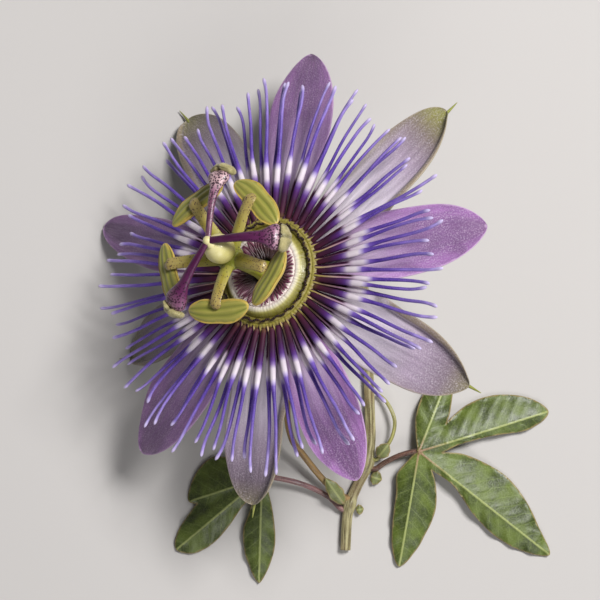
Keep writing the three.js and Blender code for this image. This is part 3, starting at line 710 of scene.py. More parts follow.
# %% The shape of a blade
def half_width(s, blade):
    """Half the width at a share s of the length: growing from the root, round at the tip."""
    grown = np.sin(np.minimum(s / blade["widest_at"], 1) * math.pi / 2)
    t = np.clip((s - blade["widest_at"]) / (1 - blade["widest_at"]), 0, 1)
    whole = blade["root_width"] + (1 - blade["root_width"]) * grown
    return blade["width"] / 2 * whole * (1 - t ** blade["round"]) ** 0.66


def blade_points(s, side, lift, across, blade):
    """Places a grid over the blade: s along it; side, over it from -1 to 1, is not used."""
    run = blade["reach"] - blade["root_radius"]
    fall = blade["drop"] - blade["root_height"]
    out = blade["root_radius"] + run * s
    high = blade["root_height"] + fall * s ** blade["bend"]
    slope = np.arctan2(fall * blade["bend"] * np.maximum(s, 1e-3) ** (blade["bend"] - 1), run)
    radial = out - lift * np.sin(slope)
    cos, sin = compass(blade["heading"])
    x = radial * cos - across * sin
    y = radial * sin + across * cos
    return np.stack(np.broadcast_arrays(x, y, high + lift * np.cos(slope)), axis=-1)


def blade_ripple(s, side, phase):
    """The waves of the two margins, each with its own count and start."""
    return np.where(side < 0, np.sin(14 * s + phase), np.sin(11 * s + 2.1 * phase))


def blade_lift(s, side, closing, ripple, blade):
    """How high the blade stands over its middle line: a cup, waved margins and a low crown."""
    cup = blade["cup"] * side**2 * s**3 * closing
    flutter = BLADE["flutter"] * ripple * np.abs(side) ** 3 * s * closing
    crown = BLADE["crown"] * hill(side, 0.3) * (1 - s) * s * 2
    return cup + flutter + crown


def blade_form(blade):
    """A thin blade with fine nerves, a waved margin and, on a sepal, a keel and a rolled margin.

    Its top and its back lie a little under the upper face of the model's own, thicker blade.
    """
    s = np.sin(np.linspace(0, 1, BLADE["rows"]) * math.pi / 2)[:, None]
    side = np.linspace(-1, 1, BLADE["columns"])[None, :]
    ripple = blade_ripple(s, side, blade["phase"])
    half = half_width(s, blade) * (1 + BLADE["ripple"] * ripple * np.abs(side) * s)
    closing = (half_width(s, blade) * 2 / blade["width"]) ** 0.5
    lift = blade_lift(s, side, closing, ripple, blade)
    fold = smoothstep(side * blade["roll"], 0.6, 0.9) * smoothstep(s, 0.3, 0.55)
    fold = fold * (1 - smoothstep(s, 0.97, 1.0))
    lift = lift + blade["roll_height"] * fold * closing
    across = half * side + 4 * blade["bow"] * s * (1 - s) - blade["roll"] * 0.10 * half * fold
    nerves = 0.035 * np.cos(side * 24) + 0.03 * np.cos(side * 41 + blade["phase"])
    keel = blade["keel"] * (0.35 + 0.65 * s) * hill(half * side, 0.55) * closing
    length = blade["reach"] - blade["root_radius"]
    flat = np.stack(np.broadcast_arrays(s * length, across, 0 * s), axis=-1)
    return sheet(
        blade_points(s, side, lift + nerves * closing - BLADE["top"], across, blade),
        blade_points(s, side, lift - BLADE["back"] - keel, across, blade),
        flat=(flat, flat + np.array([0, 0, BACK_PATTERN])),
        share=s,
        side=side,
        margin=np.minimum(half * (1 - np.abs(side)), (1 - s) * length * 0.8),
        fold=fold,
        under=(0 * s, 0 * s + 1),
        dim=blade["dim"],
        olive=blade["olive"],
        pink=blade["pink"],
    )


print("a petal is closed by", len(blade_form({**PETAL, **PETALS[0]})["faces"]), "faces")

# %% The horn behind a sepal's tip
HORN = dict(leaves_at=0.92, depth=0.8, length=2.5, radius=0.42, point=0.07)


def horn_form(blade):
    """A tapering green horn that leaves the keel before the tip, and curls up to clear the table."""
    ends = np.array([[HORN["leaves_at"]], [1.0]])
    middle = np.array([[0.0]])
    root, tip = blade_points(ends, middle, -HORN["depth"], middle, blade)[:, 0]
    outward = (tip - root) / np.linalg.norm(tip - root)
    steps = np.linspace(0, 1, 9)[:, None]
    line = root + (tip - root + outward * HORN["length"]) * steps
    line = line + np.array([0, 0, blade["curl"]]) * steps**2
    t = steps[:, 0]
    radii = HORN["radius"] * (1 - t**1.3) + HORN["point"]
    facts = dict(share=1 + t, side=0 * t, margin=0.5, fold=0.0, under=1.0)
    return rod(line, radii, **facts, dim=blade["dim"], olive=1.0, pink=0.0)


print("a horn reaches", HORN["length"], "mm past the tip of its sepal")

# %% [markdown]
# ## The finish of the blades
#
# A fresh petal looks as if it were dusted with sugar: its skin is a field of tiny domes that
# catch the light. A glossy plain lilac would look like plastic, and modelling the domes would
# take millions of faces. So a fine grain is laid over the relief, and painted glints, pale specks
# for the light that the domes catch, over the colour. Under them the colour runs from a pale root
# to a deeper tip, along the fact that says how far each point lies from the root. Sepals green at
# the margin and the tip, and are all green behind. Blades on the shaded side of the flower take a
# painted shade over their colour.


# %% Petal and sepal paint
def petal_paint():
    """Lilac, paler at the root and mottled at the tip, with pink margins, painted glints, and a painted
    shade on petals that lie on the shaded side.
    """
    material, tree, shader = new_material("petal", 0.5, Sheen_Weight=0.15)
    flat, share = flat_place(tree), fact(tree, "share")
    body = ramp(tree, share, [
        (0.0, "e4d6e6"), (0.34, "dcc6df"), (0.48, "bb98c4"), (0.64, "8f669a"), (0.85, "734a7c"),
        (1.0, "845c88"),
    ])
    outward = maths(tree, "ABSOLUTE", fact(tree, "side"))
    flush = maths(tree, "MULTIPLY", between(tree, outward, 0.3, 0.9), fact(tree, "pink"))
    body = glaze(tree, body, "b47cc0", flush)
    blotch = between(tree, noise(tree, flat, 0.16, 4.0), 0.48, 0.68)
    far = maths(tree, "MULTIPLY", between(tree, share, 0.45, 0.9), 0.7)
    body = glaze(tree, body, "55335c", maths(tree, "MULTIPLY", blotch, far))
    streak = streaks(tree, flat, 9.0, 1.6)
    body = glaze(tree, body, "5f4370", streak, 0.28)
    skin = use(tree, GRAIN_AND_GLINT, Vector=flat, Cells_per_mm=4.0)
    # Painted glints: pale specks where the grain's tiny domes would catch the light.
    body = glaze(tree, body, "e9d6ec", skin["Painted glint"], 0.34)
    rim = margin_mask(tree, flat, 0.35)
    body = glaze(tree, body, "d3aed6", rim, 0.6)
    body = glaze(tree, body, "b7a3b4", fact(tree, "under"), 0.45)
    # Painted shade: petals on the shaded side of the flower are darkened.
    body = glaze(tree, body, "382542", fact(tree, "dim"), 0.7)
    rough = varied(tree, streak, 0.42, 0.6)
    dress(tree, shader, body, rough, (streak, 0.3, 0.1), (skin["Height"], 0.35, 0.08))
    return material


def sepal_paint():
    """Silvery lilac in front and green behind, olive to the tip, with a tan rolled margin, a painted
    shade in the channel inside it, painted glints, and a painted shade on shaded sepals.
    """
    material, tree, shader = new_material("sepal", 0.5, Sheen_Weight=0.15)
    flat, share, fold = flat_place(tree), fact(tree, "share"), fact(tree, "fold")
    body = ramp(tree, share, [
        (0.0, "ece4ea"), (0.34, "ece2ea"), (0.5, "d8cbd8"), (0.68, "b09cb1"), (0.87, "7f6c83"),
        (1.0, "706454"),
    ])
    outward = maths(tree, "ABSOLUTE", fact(tree, "side"))
    edge = maths(tree, "MULTIPLY", between(tree, outward, 0.5, 1.0), 0.75)
    greening = maths(tree, "MAXIMUM", edge, between(tree, share, 0.66, 0.98))
    olive = mix(tree, between(tree, share, 0.8, 1.0), srgb("857a4c"), srgb("93923c"))
    body = mix(tree, maths(tree, "MULTIPLY", greening, fact(tree, "olive")), body, olive)
    # Painted shade: a dark band in the channel where the margin starts to roll up.
    channel_shade = between(tree, fold, 0.0, 0.15), between(tree, fold, 0.5, 0.2)
    body = glaze(tree, body, "4d4048", maths(tree, "MULTIPLY", *channel_shade), 0.6)
    body = glaze(tree, body, "9b8a6c", between(tree, fold, 0.3, 0.8), 0.85)
    streak = streaks(tree, flat, 9.0, 1.4)
    body = glaze(tree, body, "5e4f60", streak, 0.25)
    skin = use(tree, GRAIN_AND_GLINT, Vector=flat, Cells_per_mm=3.6)
    # Painted glints: pale specks where the grain's tiny domes would catch the light.
    body = glaze(tree, body, "efe4ec", skin["Painted glint"], 0.34)
    rim = margin_mask(tree, flat, 0.4)
    body = glaze(tree, body, "b5a58e", rim, 0.5)
    green_back = mix(tree, streak, srgb("8d9a62"), srgb("6f7f45"))
    back = glaze(tree, green_back, "a5ad6c", between(tree, outward, 0.25, 0.0))
    body = mix(tree, maths(tree, "MULTIPLY", fact(tree, "under"), 0.9), body, back)
    body = glaze(tree, body, "8c8f3e", between(tree, share, 1.0, 1.2))
    # Painted shade: sepals on the shaded side of the flower are darkened.
    body = glaze(tree, body, "2c2032", fact(tree, "dim"), 0.7)
    rough = varied(tree, streak, 0.4, 0.58)
    dress(tree, shader, body, rough, (streak, 0.3, 0.1), (skin["Height"], 0.4, 0.08))
    return material


PETAL_PAINT, SEPAL_PAINT = petal_paint(), sepal_paint()
print("paints of the blades:", PETAL_PAINT.name, "and", SEPAL_PAINT.name)

# %% Ten blades in a ring
for k, numbers in enumerate(PETALS, 1):
    petal = blade_form({**PETAL, **numbers})
    make_piece(f"petal_{k}_blade", placed(petal), PETAL_PAINT, [f"petal_{k}"], smoother=1)
for k, numbers in enumerate(SEPALS, 1):
    blade = {**SEPAL, **numbers}
    sepal = merged([blade_form(blade), horn_form(blade)])
    make_piece(f"sepal_{k}_blade", placed(sepal), SEPAL_PAINT, [f"sepal_{k}"], smoother=1)

# %% [markdown]
# ## The corona
#
# Between the petals and the column stands the corona, two ranks of fine fleshy threads. Each
# thread is nearly black at its root, then crosses a white band and turns from violet to a pale
# lilac tip. A hair system would grow them quickly, but it gives no solid mesh, and the colour
# bands have to fall on the same circle in every thread. So each thread is a rod of its own,
# with its place from the same seeded draws as the model, and its distance from the flower's
# axis kept as a fact for the paint.

# %% The numbers of the threads
CORONA = dict(per_row=45, root=9.7, shortest=32, longest=36.6, band=18.0)
THREAD_ROWS = [
    dict(rank=0.0, start=9.7, root=0.0, lifted=0.0, arch=0.8, tip=0.8, root_width=1.0, band_width=1.14),
    dict(rank=1.0, start=9.2, root=-0.45, lifted=0.95, arch=0.2, tip=-0.6,
         root_width=0.76, band_width=1.06),
]
THREAD = dict(steps=37, tip_steps=7, sides=10, flat=0.82, tip_width=0.72, taper=0.16, bulb=0.05)
WANDER = dict(sway=2.4, waver=0.22, kink=1.5, kink_from=0.84, ripple=0.18, band_shift=1.7)
LONGEST_RADIUS = 40.0
print("threads in the corona:", CORONA["per_row"] * len(THREAD_ROWS))


# %% One thread
def thread_width(radius, length, row):
    """The width at each radius: growing to the white band, and thin from there to the tip."""
    to_band = smoothstep(radius, CORONA["root"] + 1, CORONA["band"] - 2.5)
    to_tip = np.clip((radius - CORONA["band"]) / (length - CORONA["band"]), 0, 1)
    width = row["root_width"] + (row["band_width"] - row["root_width"]) * to_band
    narrowing = (THREAD["tip_width"] - row["band_width"]) * smoothstep(to_tip, 0.0, 0.3)
    return width + narrowing - THREAD["taper"] * to_tip


def thread(heading, length, row, sway, chance):
    """One thread: a straight root, a broad white band, and a thinner, slightly wavering end."""
    s = np.linspace(0, 0.95, THREAD["steps"])
    s = np.concatenate([s, np.linspace(0.96, 1, THREAD["tip_steps"])])
    radius = row["start"] + (length - row["start"]) * s
    high = row["root"] + row["arch"] * np.sin(math.pi * s) + (row["tip"] - row["root"]) * s * s
    high = high + row["lifted"] * hill(radius, 1.0, row["start"])
    waver = WANDER["waver"] * np.sin((5 + 3 * chance()) * s + 6.28 * chance()) * smoothstep(s, 0.3, 0.8)
    past_kink = np.maximum(s - WANDER["kink_from"], 0) / (1 - WANDER["kink_from"])
    kink = (chance() - 0.5) * WANDER["kink"] * past_kink**2
    high = high + WANDER["ripple"] * np.sin(7 * s + 6.28 * chance()) * smoothstep(s, 0.35, 0.9)
    angle = heading * DEGREE + (sway * s * s + waver + kink) / radius
    line = around(radius, angle, high)
    bulb = THREAD["bulb"] * hill(length - radius, 0.5, 0.7)
    radii = (thread_width(radius, length, row) / 2 + bulb) * round_ends(len(s), 1, 4)
    shift = (chance() - 0.5) * WANDER["band_shift"]
    return rod(
        line,
        radii,
        THREAD["sides"],
        flat=THREAD["flat"],
        radius=(radius + shift) / LONGEST_RADIUS,
        to_tip=length - radius,
        rank=row["rank"],
        tone=chance(),
    )


# %% Two ranks of threads
def thread_rows():
    """Both ranks, at the model's own headings and lengths."""
    draw, extra = seeded(17), seeded(5)
    rows = []
    for order, row in enumerate(THREAD_ROWS):
        threads = []
        step = 360 / CORONA["per_row"]
        for k in range(CORONA["per_row"]):
            heading = (k + order / 2) * step + (draw() - 0.5) * 0.2 * step
            length = CORONA["shortest"] + (CORONA["longest"] - CORONA["shortest"]) * draw()
            sway = (draw() - 0.5) * WANDER["sway"]
            threads.append(thread(heading, length, row, sway, extra))
        rows.append(merged(threads))
    return rows


upper_row, lower_row = thread_rows()
print("points in the upper rank:", len(upper_row["points"]))

# %% [markdown]
# ## The bands of the corona
#
# Seen from above the bands make rings: a dark eye, a white circle, and violet rays. An image
# wrapped round each thread would need its own unrolling, so one ramp of colours is laid along
# the distance from the axis, a little shifted in each thread so that no ring is perfect. The
# lower rank shows a pale line along its root, between dark flanks.

# %% The paint of the threads
OUTER_BANDS = [
    (0.434, "d9ccd7"), (0.478, "e2d7df"), (0.49, "ccbedb"), (0.512, "7659b2"), (0.545, "563699"),
    (0.62, "6145a5"), (0.7, "7d63ba"), (0.79, "9a84cd"), (0.89, "baa9df"),
]
UPPER_ROOT = [
    (0.242, "5c3c28"), (0.26, "451426"), (0.335, "38102f"), (0.375, "481a5c"), (0.396, "55307c"),
    (0.414, "8d72aa"),
]
LOWER_ROOT = [
    (0.232, "867b31"), (0.26, "ac975c"), (0.31, "c9a99c"), (0.36, "bd8fab"), (0.41, "c4acc2"),
]


def corona_paint():
    """Bands by distance from the axis: maroon, white, violet, lilac. The lower root has a pale line."""
    material, tree, shader = new_material("corona", 0.5, Specular_IOR_Level=0.3)
    flat, radius = flat_place(tree), fact(tree, "radius")
    upper = ramp(tree, radius, UPPER_ROOT + OUTER_BANDS)
    line = ramp(tree, radius, LOWER_ROOT + OUTER_BANDS)
    flank = maths(tree, "ABSOLUTE", put(tree, "SeparateXYZ", {0: flat}).outputs["Y"])
    ridge = between(tree, flank, 0.18, 0.10)
    lined = maths(tree, "MAXIMUM", ridge, between(tree, radius, 0.395, 0.425))
    lower = mix(tree, lined, srgb("3a0f2b"), line)
    body = mix(tree, fact(tree, "rank"), upper, lower)
    streak = streaks(tree, flat, 6.0, 3.0)
    violet = between(tree, radius, 0.50, 0.56)
    streaked = maths(tree, "MULTIPLY", streak, maths(tree, "MULTIPLY", violet, 0.42))
    body = glaze(tree, body, "2d1b6e", streaked)
    skin = use(tree, GRAIN_AND_GLINT, Vector=place_mm(tree), Cells_per_mm=5.0)
    # Painted glints: pale specks on the violet part of the threads.
    violet_glints = maths(tree, "MULTIPLY", skin["Painted glint"], maths(tree, "MULTIPLY", violet, 0.22))
    body = glaze(tree, body, "b9a8e6", violet_glints)
    body = glaze(tree, body, "ddd0ee", between(tree, fact(tree, "to_tip"), 1.5, 0.2, 0.0, 0.6))
    body = glaze(tree, body, "2a1a55", fact(tree, "tone"), 0.12)
    rough = between(tree, radius, 0.38, 0.5, 0.62, 0.42)
    dress(tree, shader, body, rough, (streak, 0.25, 0.05), (skin["Height"], 0.25, 0.05))
    return material


CORONA_PAINT = corona_paint()
make_piece("corona_upper_threads", placed(upper_row), CORONA_PAINT, ["corona"])
make_piece("corona_lower_threads", placed(lower_row), CORONA_PAINT, ["corona"])

# %% [markdown]
# ## The middle of the flower
#
# Inside the corona lie, from the outside in: an olive ring that the threads grow from, a dark
# frill like a string of beads, a domed disc that goes from green to white, and a fringe of
# maroon threads that leans in over the dark hollow round the column. All but the beads and the
# fringe are turned about the flower's axis. A plain turned ring would look machined, so its
# height ripples with the angle, and its paint is drawn along the radius.

# %% Turned rings
DRAWING_RADIUS = 8.0


def turned(profile, count, ripple=None):
    """A closed ring about the flower's axis, from a closed profile of [radius, height]."""
    profile = np.asarray(profile, float)
    angle = circle(count)[:, None]
    radius, high = profile[:, 0][None, :], profile[:, 1][None, :]
    if ripple:
        high = high + ripple(angle, radius)
    points = around(radius, angle, high)
    columns = len(profile)
    faces = grid_faces(count, columns, wrap=True)
    last = (count - 1) * columns
    faces += [(last + j, j, (j + 1) % columns, last + (j + 1) % columns) for j in range(columns)]
    drawn = around(DRAWING_RADIUS, angle, radius)[..., [2, 0, 1]].reshape(-1, 3)
    return form(points, faces, flat=drawn, radius=np.broadcast_to(radius, points.shape[:2]).ravel())


print("turned rings are drawn on at a radius of", DRAWING_RADIUS, "mm")


# %% Ring, disc and frill
THREADS_IN_RING = 90
SCALLOPS = 26


def thread_seats(angle, radius):
    """A seat in the olive ring for each thread."""
    return 0.08 * np.cos(THREADS_IN_RING * angle) * smoothstep(radius, 9.1, 9.7)


def disc_grain(angle, radius):
    """Faint rays on the crown of the disc."""
    return 0.02 * np.cos(73 * angle) * hill(radius, 0.7, 6.9)


def scallops(angle, radius):
    """The waves of the frill's edge."""
    return 0.08 * np.sin(SCALLOPS * angle) * smoothstep(radius, 8.3, 8.6) * (radius < 9.2)


ring = turned(
    [[9.1, 0.35], [9.3, 0.6], [9.6, 0.55], [9.95, 0.3], [10.3, -0.2], [10.3, -1.0], [9.1, -1.0]],
    4 * THREADS_IN_RING,
    thread_seats,
)
disc = turned(
    [
        [8.25, -0.6], [8.3, 0.55], [8.1, 0.8], [7.85, 1.05], [7.6, 1.3], [7.35, 1.52], [7.1, 1.68],
        [6.85, 1.76], [6.6, 1.74], [6.35, 1.6], [6.3, 1.2], [6.4, -0.6],
    ],
    360,
    disc_grain,
)
frill = turned(
    [[8.3, -0.6], [8.3, 0.6], [8.5, 0.92], [8.8, 1.0], [9.1, 0.92], [9.3, 0.45], [9.3, -0.6]],
    360,
    scallops,
)
print("points in the ring, the disc and the frill:", [len(one["points"]) for one in (ring, disc, frill)])

# %% The string of beads
BEADS = dict(count=134, radius=8.86, height=1.10, smallest=0.19, spread=0.08)


def ball(centre, radii, sides=10, **facts):
    """A round bead or berry, with a radius along each axis."""
    tilt = np.linspace(0.14, math.pi - 0.14, sides // 2 + 1)[:, None]
    angle = circle(sides)[None, :]
    rings = around(np.sin(tilt), angle, np.cos(tilt))
    return loft(rings * np.asarray(radii) + np.asarray(centre), **facts)


def bead_string():
    """Small dark beads in an uneven zigzag on the edge of the frill."""
    draw = seeded(29)
    beads = []
    for k in range(BEADS["count"]):
        angle = (k + 0.6 * (draw() - 0.5)) * 2 * math.pi / BEADS["count"]
        radius = BEADS["radius"] + 0.22 * math.sin(SCALLOPS * angle + 0.9) + 0.12 * (draw() - 0.5)
        size = BEADS["smallest"] + BEADS["spread"] * draw()
        high = BEADS["height"] + 0.10 * math.sin(SCALLOPS * angle) + 0.06 * draw()
        centre = [radius * math.cos(angle), radius * math.sin(angle), high]
        beads.append(ball(centre, (size, size, size * 1.2), 8, tone=draw()))
    return merged(beads)


print("beads on the frill:", BEADS["count"])

# %% The fringe over the hollow
FRINGE = dict(count=58, top=1.85, fall=1.15, root=6.5, tip=2.2, steps=10, skirt=0.3)
SKIRT_RADII = [6.4, 5.9, 5.35, 4.8, 4.2, 3.6, 3.05, 2.6]


def fringe_height(radius):
    """How high the fringe stands: level with the disc at its root, and dipping inwards."""
    return FRINGE["top"] - FRINGE["fall"] * smoothstep(FRINGE["root"] - radius, 0.1, 4.2)


def skirt_ridges(angle, radius):
    """A low ridge between each two threads."""
    return 0.07 * np.cos(FRINGE["count"] * angle)


def fringe_collar():
    """The pale skirt under the threads."""
    over = [[r, fringe_height(r)] for r in SKIRT_RADII]
    under = [[r, fringe_height(r) - FRINGE["skirt"]] for r in reversed(SKIRT_RADII)]
    return turned(over + under, 6 * FRINGE["count"], skirt_ridges)


def fringe_threads():
    """Maroon threads that lie side by side on the skirt and end ragged over the hollow."""
    draw = seeded(41)
    threads = []
    for k in range(FRINGE["count"]):
        angle = (k + 0.5 + 0.25 * (draw() - 0.5)) * 2 * math.pi / FRINGE["count"]
        start, end = FRINGE["root"] - 0.5 * draw(), FRINGE["tip"] + 0.4 * draw()
        radius = np.linspace(start, end, FRINGE["steps"])
        bend = angle + 0.03 * np.sin(radius * 2 + 6 * draw())
        high = fringe_height(radius) + 0.1 + 0.12 * (end + 0.8 - radius).clip(0)
        line = around(radius, bend, high)
        width = np.linspace(0.24, 0.12, FRINGE["steps"]) * round_ends(FRINGE["steps"], 3, 2)
        threads.append(rod(line, width, 6, radius=radius, tone=draw()))
    return merged(threads)


hollow = turned(
    [[4.75, -0.6], [4.6, 0.6], [4.4, 0.1], [3.2, -0.15], [1.7, -0.25], [1.7, -0.8], [4.6, -0.8]], 72
)
print("the fringe stands", fringe_height(FRINGE["root"]), "mm high at its root")


# %% Paint for the middle
LARGEST_RADIUS = 12.0


def middle_paint(name, roughness, per_mm, depth, stops, coat=0.0):
    """A colour for each radius in millimetres, drawn in fine lines towards the axis."""
    material, tree, shader = new_material(name, roughness, Coat_Weight=coat)
    reach = maths(tree, "DIVIDE", fact(tree, "radius"), LARGEST_RADIUS)
    body = ramp(tree, reach, [(radius / LARGEST_RADIUS, code) for radius, code in stops])
    streak = streaks(tree, flat_place(tree), 6.0, per_mm)
    body = glaze(tree, body, "4d3325", streak, depth)
    skin = use(tree, GRAIN_AND_GLINT, Vector=place_mm(tree), Cells_per_mm=7.0)
    # Painted glints: faint pale specks where the grain would catch the light.
    body = glaze(tree, body, "f6f0e2", skin["Painted glint"], 0.1)
    dress(tree, shader, body, None, (streak, 0.5, 0.08), (skin["Height"], 0.2, 0.04))
    return material


def bead_paint():
    """Nearly black purple, with a browner tone on some beads."""
    material, tree, shader = new_material("dark beads", 0.45, Specular_IOR_Level=0.3)
    spot = place_mm(tree)
    body = mix(tree, fact(tree, "tone"), srgb("12060a"), srgb("2c1416"))
    body = glaze(tree, body, "4d3b2a", between(tree, noise(tree, spot, 4.0), 0.55, 0.75, 0.0, 0.4))
    skin = use(tree, GRAIN_AND_GLINT, Vector=spot, Cells_per_mm=8.0)
    dress(tree, shader, body, None, (skin["Height"], 0.2, 0.03))
    return material


RING_PAINT = middle_paint("olive ring", 0.5, 2.2, 0.3, [
    (9.1, "7d7625"), (9.4, "989034"), (9.8, "8f8035"), (10.1, "5f432a"), (10.3, "35151d"),
])
DISC_PAINT = middle_paint("disc", 0.42, 2.4, 0.26, [
    (6.2, "e6d0cf"), (6.5, "eedfd8"), (6.85, "f2eadc"), (7.2, "e3dab4"), (7.45, "b0a858"),
    (7.7, "88812c"), (8.2, "746d18"),
], coat=0.08)
FRILL_PAINT = middle_paint("frill", 0.5, 3.0, 0.3, [
    (8.3, "857c20"), (8.6, "7f7424"), (8.9, "6f6024"), (9.2, "948838"),
])
SKIRT_PAINT = middle_paint("fringe skirt", 0.5, 3.0, 0.25, [
    (2.5, "180510"), (3.6, "2f0b20"), (4.4, "70395a"), (5.2, "c79fb0"), (6.1, "efe1da"),
])
FRINGE_PAINT = middle_paint("fringe threads", 0.42, 3.0, 0.3, [
    (2.2, "1c0412"), (4.0, "33091f"), (5.2, "58123b"), (6.4, "7c2c58"),
])
HOLLOW_PAINT = middle_paint("hollow", 0.6, 2.0, 0.2, [
    (1.7, "1a0714"), (3.4, "160510"), (4.7, "2a1022"),
])
print("materials so far:", len(bpy.data.materials))

# %% The middle, put together
make_piece("corona_ring", placed(ring), RING_PAINT, ["corona"])
make_piece("membrane_frill", placed(frill), FRILL_PAINT, ["membrane"])
make_piece("membrane_beads", placed(bead_string()), bead_paint(), ["membrane"])
make_piece("disc_dome", placed(disc), DISC_PAINT, ["disc"])
make_piece("fringe_collar", placed(fringe_collar()), SKIRT_PAINT, ["inner_fringe"])
make_piece("fringe_threads", placed(fringe_threads()), FRINGE_PAINT, ["inner_fringe"])
make_piece("fringe_hollow", placed(hollow), HOLLOW_PAINT, ["inner_fringe"])

# %% [markdown]
# ## Column and stamens
#
# A column rises out of the hollow, and near its top five straps spread out, each with a hinged
# pod of pollen. A strap could be a flat ribbon, but a real one is fleshy and grooved, so it is a
# rod with a flattened, ribbed section. It grows out of the hub and comes down on its pod.

# %% The column and its straps
COLUMN_PROFILE = [
    [1.9, -0.6], [1.9, 0.5], [1.5, 3.5], [1.4, 7.0], [1.4, 9.8], [1.8, 11.2], [2.3, 12.0],
    [2.4, 12.8], [1.7, 13.4],
]
STRAP = dict(root=1.0, hub_height=12.5, width=2.5, steps=34, flat=0.44, past_pod=0.4, over_pod=0.6)
ANTHER = dict(height=13.7, width=4.2, thickness=2.1, tilt=16)
ANTHERS = [
    dict(heading=-33.4, radius=12.0, length=11.8, twist=-1.5, stalk=12.0, aside=0),
    dict(heading=-100, radius=10.9, length=12.3, twist=-11, stalk=11.1, aside=3.5),
    dict(heading=175.3, radius=10.2, length=10.8, twist=-5, stalk=9.0, aside=8, tilt=-18),
    dict(heading=107, radius=9.8, length=12.2, twist=5, stalk=9.2, aside=1),
    dict(heading=35.3, radius=11.8, length=11.8, twist=8, stalk=11.4, aside=-7),
]
PODS = [{**ANTHER, **numbers} for numbers in ANTHERS]


def column_form():
    """The shaft, with shallow flutes, swelling to the hub that the straps leave from."""
    profile = np.array(COLUMN_PROFILE)
    drawn = smooth_line(np.column_stack([profile, 0 * profile[:, 0]]), 60)
    angle = circle(40)
    radius = drawn[:, 0][:, None] * (1 + 0.035 * np.cos(5 * angle))
    rings = around(radius, angle, drawn[:, 1][:, None])
    share = 0.15 * np.clip(1 - drawn[:, 1] / 13, 0, 1)
    return loft(rings, flat=rings[..., [2, 0, 1]], share=share)


def strap_form(pod):
    """A flat strap that rises out of the hub, arches over and comes down on its pod."""
    cos, sin = compass(pod["heading"] + pod["aside"])
    t = np.linspace(0, 1, STRAP["steps"])
    seat = pod["height"] + pod["thickness"] / 2 + STRAP["over_pod"]
    radius = STRAP["root"] + (pod["stalk"] + STRAP["past_pod"] - STRAP["root"]) * t
    high = STRAP["hub_height"] + (seat - STRAP["hub_height"]) * np.sin(t * math.pi / 2)
    high = high - 0.5 * smoothstep(t, 0.88, 1.0)
    line = np.stack([radius * cos, radius * sin, high], -1)
    width = STRAP["width"] / 2 * (1 - 0.26 * t + 0.10 * hill(t, 0.12, 1))
    width = width * round_ends(STRAP["steps"], 1, 4)
    section = dict(flat=STRAP["flat"] - 0.1 * t, ribs=4, rib=0.07, level=(-sin, cos, 0))
    return rod(line, width, 24, **section, share=0.15 + 0.85 * t)


def column_paint():
    """Fresh yellow-green at the hub, tan-green outwards, with dark specks that crowd to the end."""
    material, tree, shader = new_material("column", 0.42, Coat_Weight=0.1)
    flat, share = flat_place(tree), fact(tree, "share")
    body = ramp(tree, share, [
        (0.0, "82861f"), (0.22, "929023"), (0.5, "9c8e36"), (0.8, "a08a48"), (1.0, "967c42"),
    ])
    streak = streaks(tree, flat, 7.0, 1.6)
    body = glaze(tree, body, "cfc784", streak, 0.22)
    crowd = between(tree, share, 0.2, 0.9, 0.15, 0.95)
    specks = use(tree, SPECKS, Vector=flat, Specks_per_mm=2.9, Share=crowd, Size=0.27)["Mask"]
    body = glaze(tree, body, "3a1730", specks, 0.88)
    skin = use(tree, GRAIN_AND_GLINT, Vector=flat, Cells_per_mm=5.0)
    rough = varied(tree, streak, 0.36, 0.5)
    dress(tree, shader, body, rough, (streak, 0.3, 0.08), (skin["Height"], 0.2, 0.04))
    return material


COLUMN_PAINT = column_paint()
make_piece("column_shaft", placed(column_form()), COLUMN_PAINT, ["column"])
for k, pod in enumerate(PODS, 1):
    make_piece(f"stamen_{k}_strap", placed(strap_form(pod)), COLUMN_PAINT, ["column"])

# %% [markdown]
# ## The pods of pollen
#
# A pod hangs across the end of its strap like a boat: ridged on the back, with a golden rim
# where it has split, and pollen beneath. A stretched ball would be quick, but it has neither
# ridge nor rim. So each pod is a row of rings whose outline is worked out point by point.


# %% The pods
POD = dict(back=0.60, belly=0.72, ridge=0.09, rim=0.24, bow=0.6, sway=0.12)


def turn_about(x=0, y=0, z=0):
    """A turn in degrees about one axis, ready for rows of points."""
    return np.array(Euler((x * DEGREE, y * DEGREE, z * DEGREE)).to_matrix()).T


def pod_section(s, angle):
    """Across, outline and height of a pod's rings: ridges on the back, a rim, and two sacs."""
    across = np.cos(angle)
    outline = (1 - np.abs(s * 0.995) ** 3.0) ** 0.5 * (1 - 0.04 * np.cos(7 * s))
    ridges = POD["ridge"] * np.cos(across * math.pi * 3.2) * (1 - across**2)
    back = POD["back"] * (1 - across**4) + ridges
    rim = POD["rim"] * hill(np.abs(across), 0.05, 0.97)
    belly = -POD["belly"] * (1 - across**6) * (0.82 + 0.18 * np.abs(np.sin(across * math.pi)))
    return across, outline, np.where(np.sin(angle) >= 0, back + rim, belly)


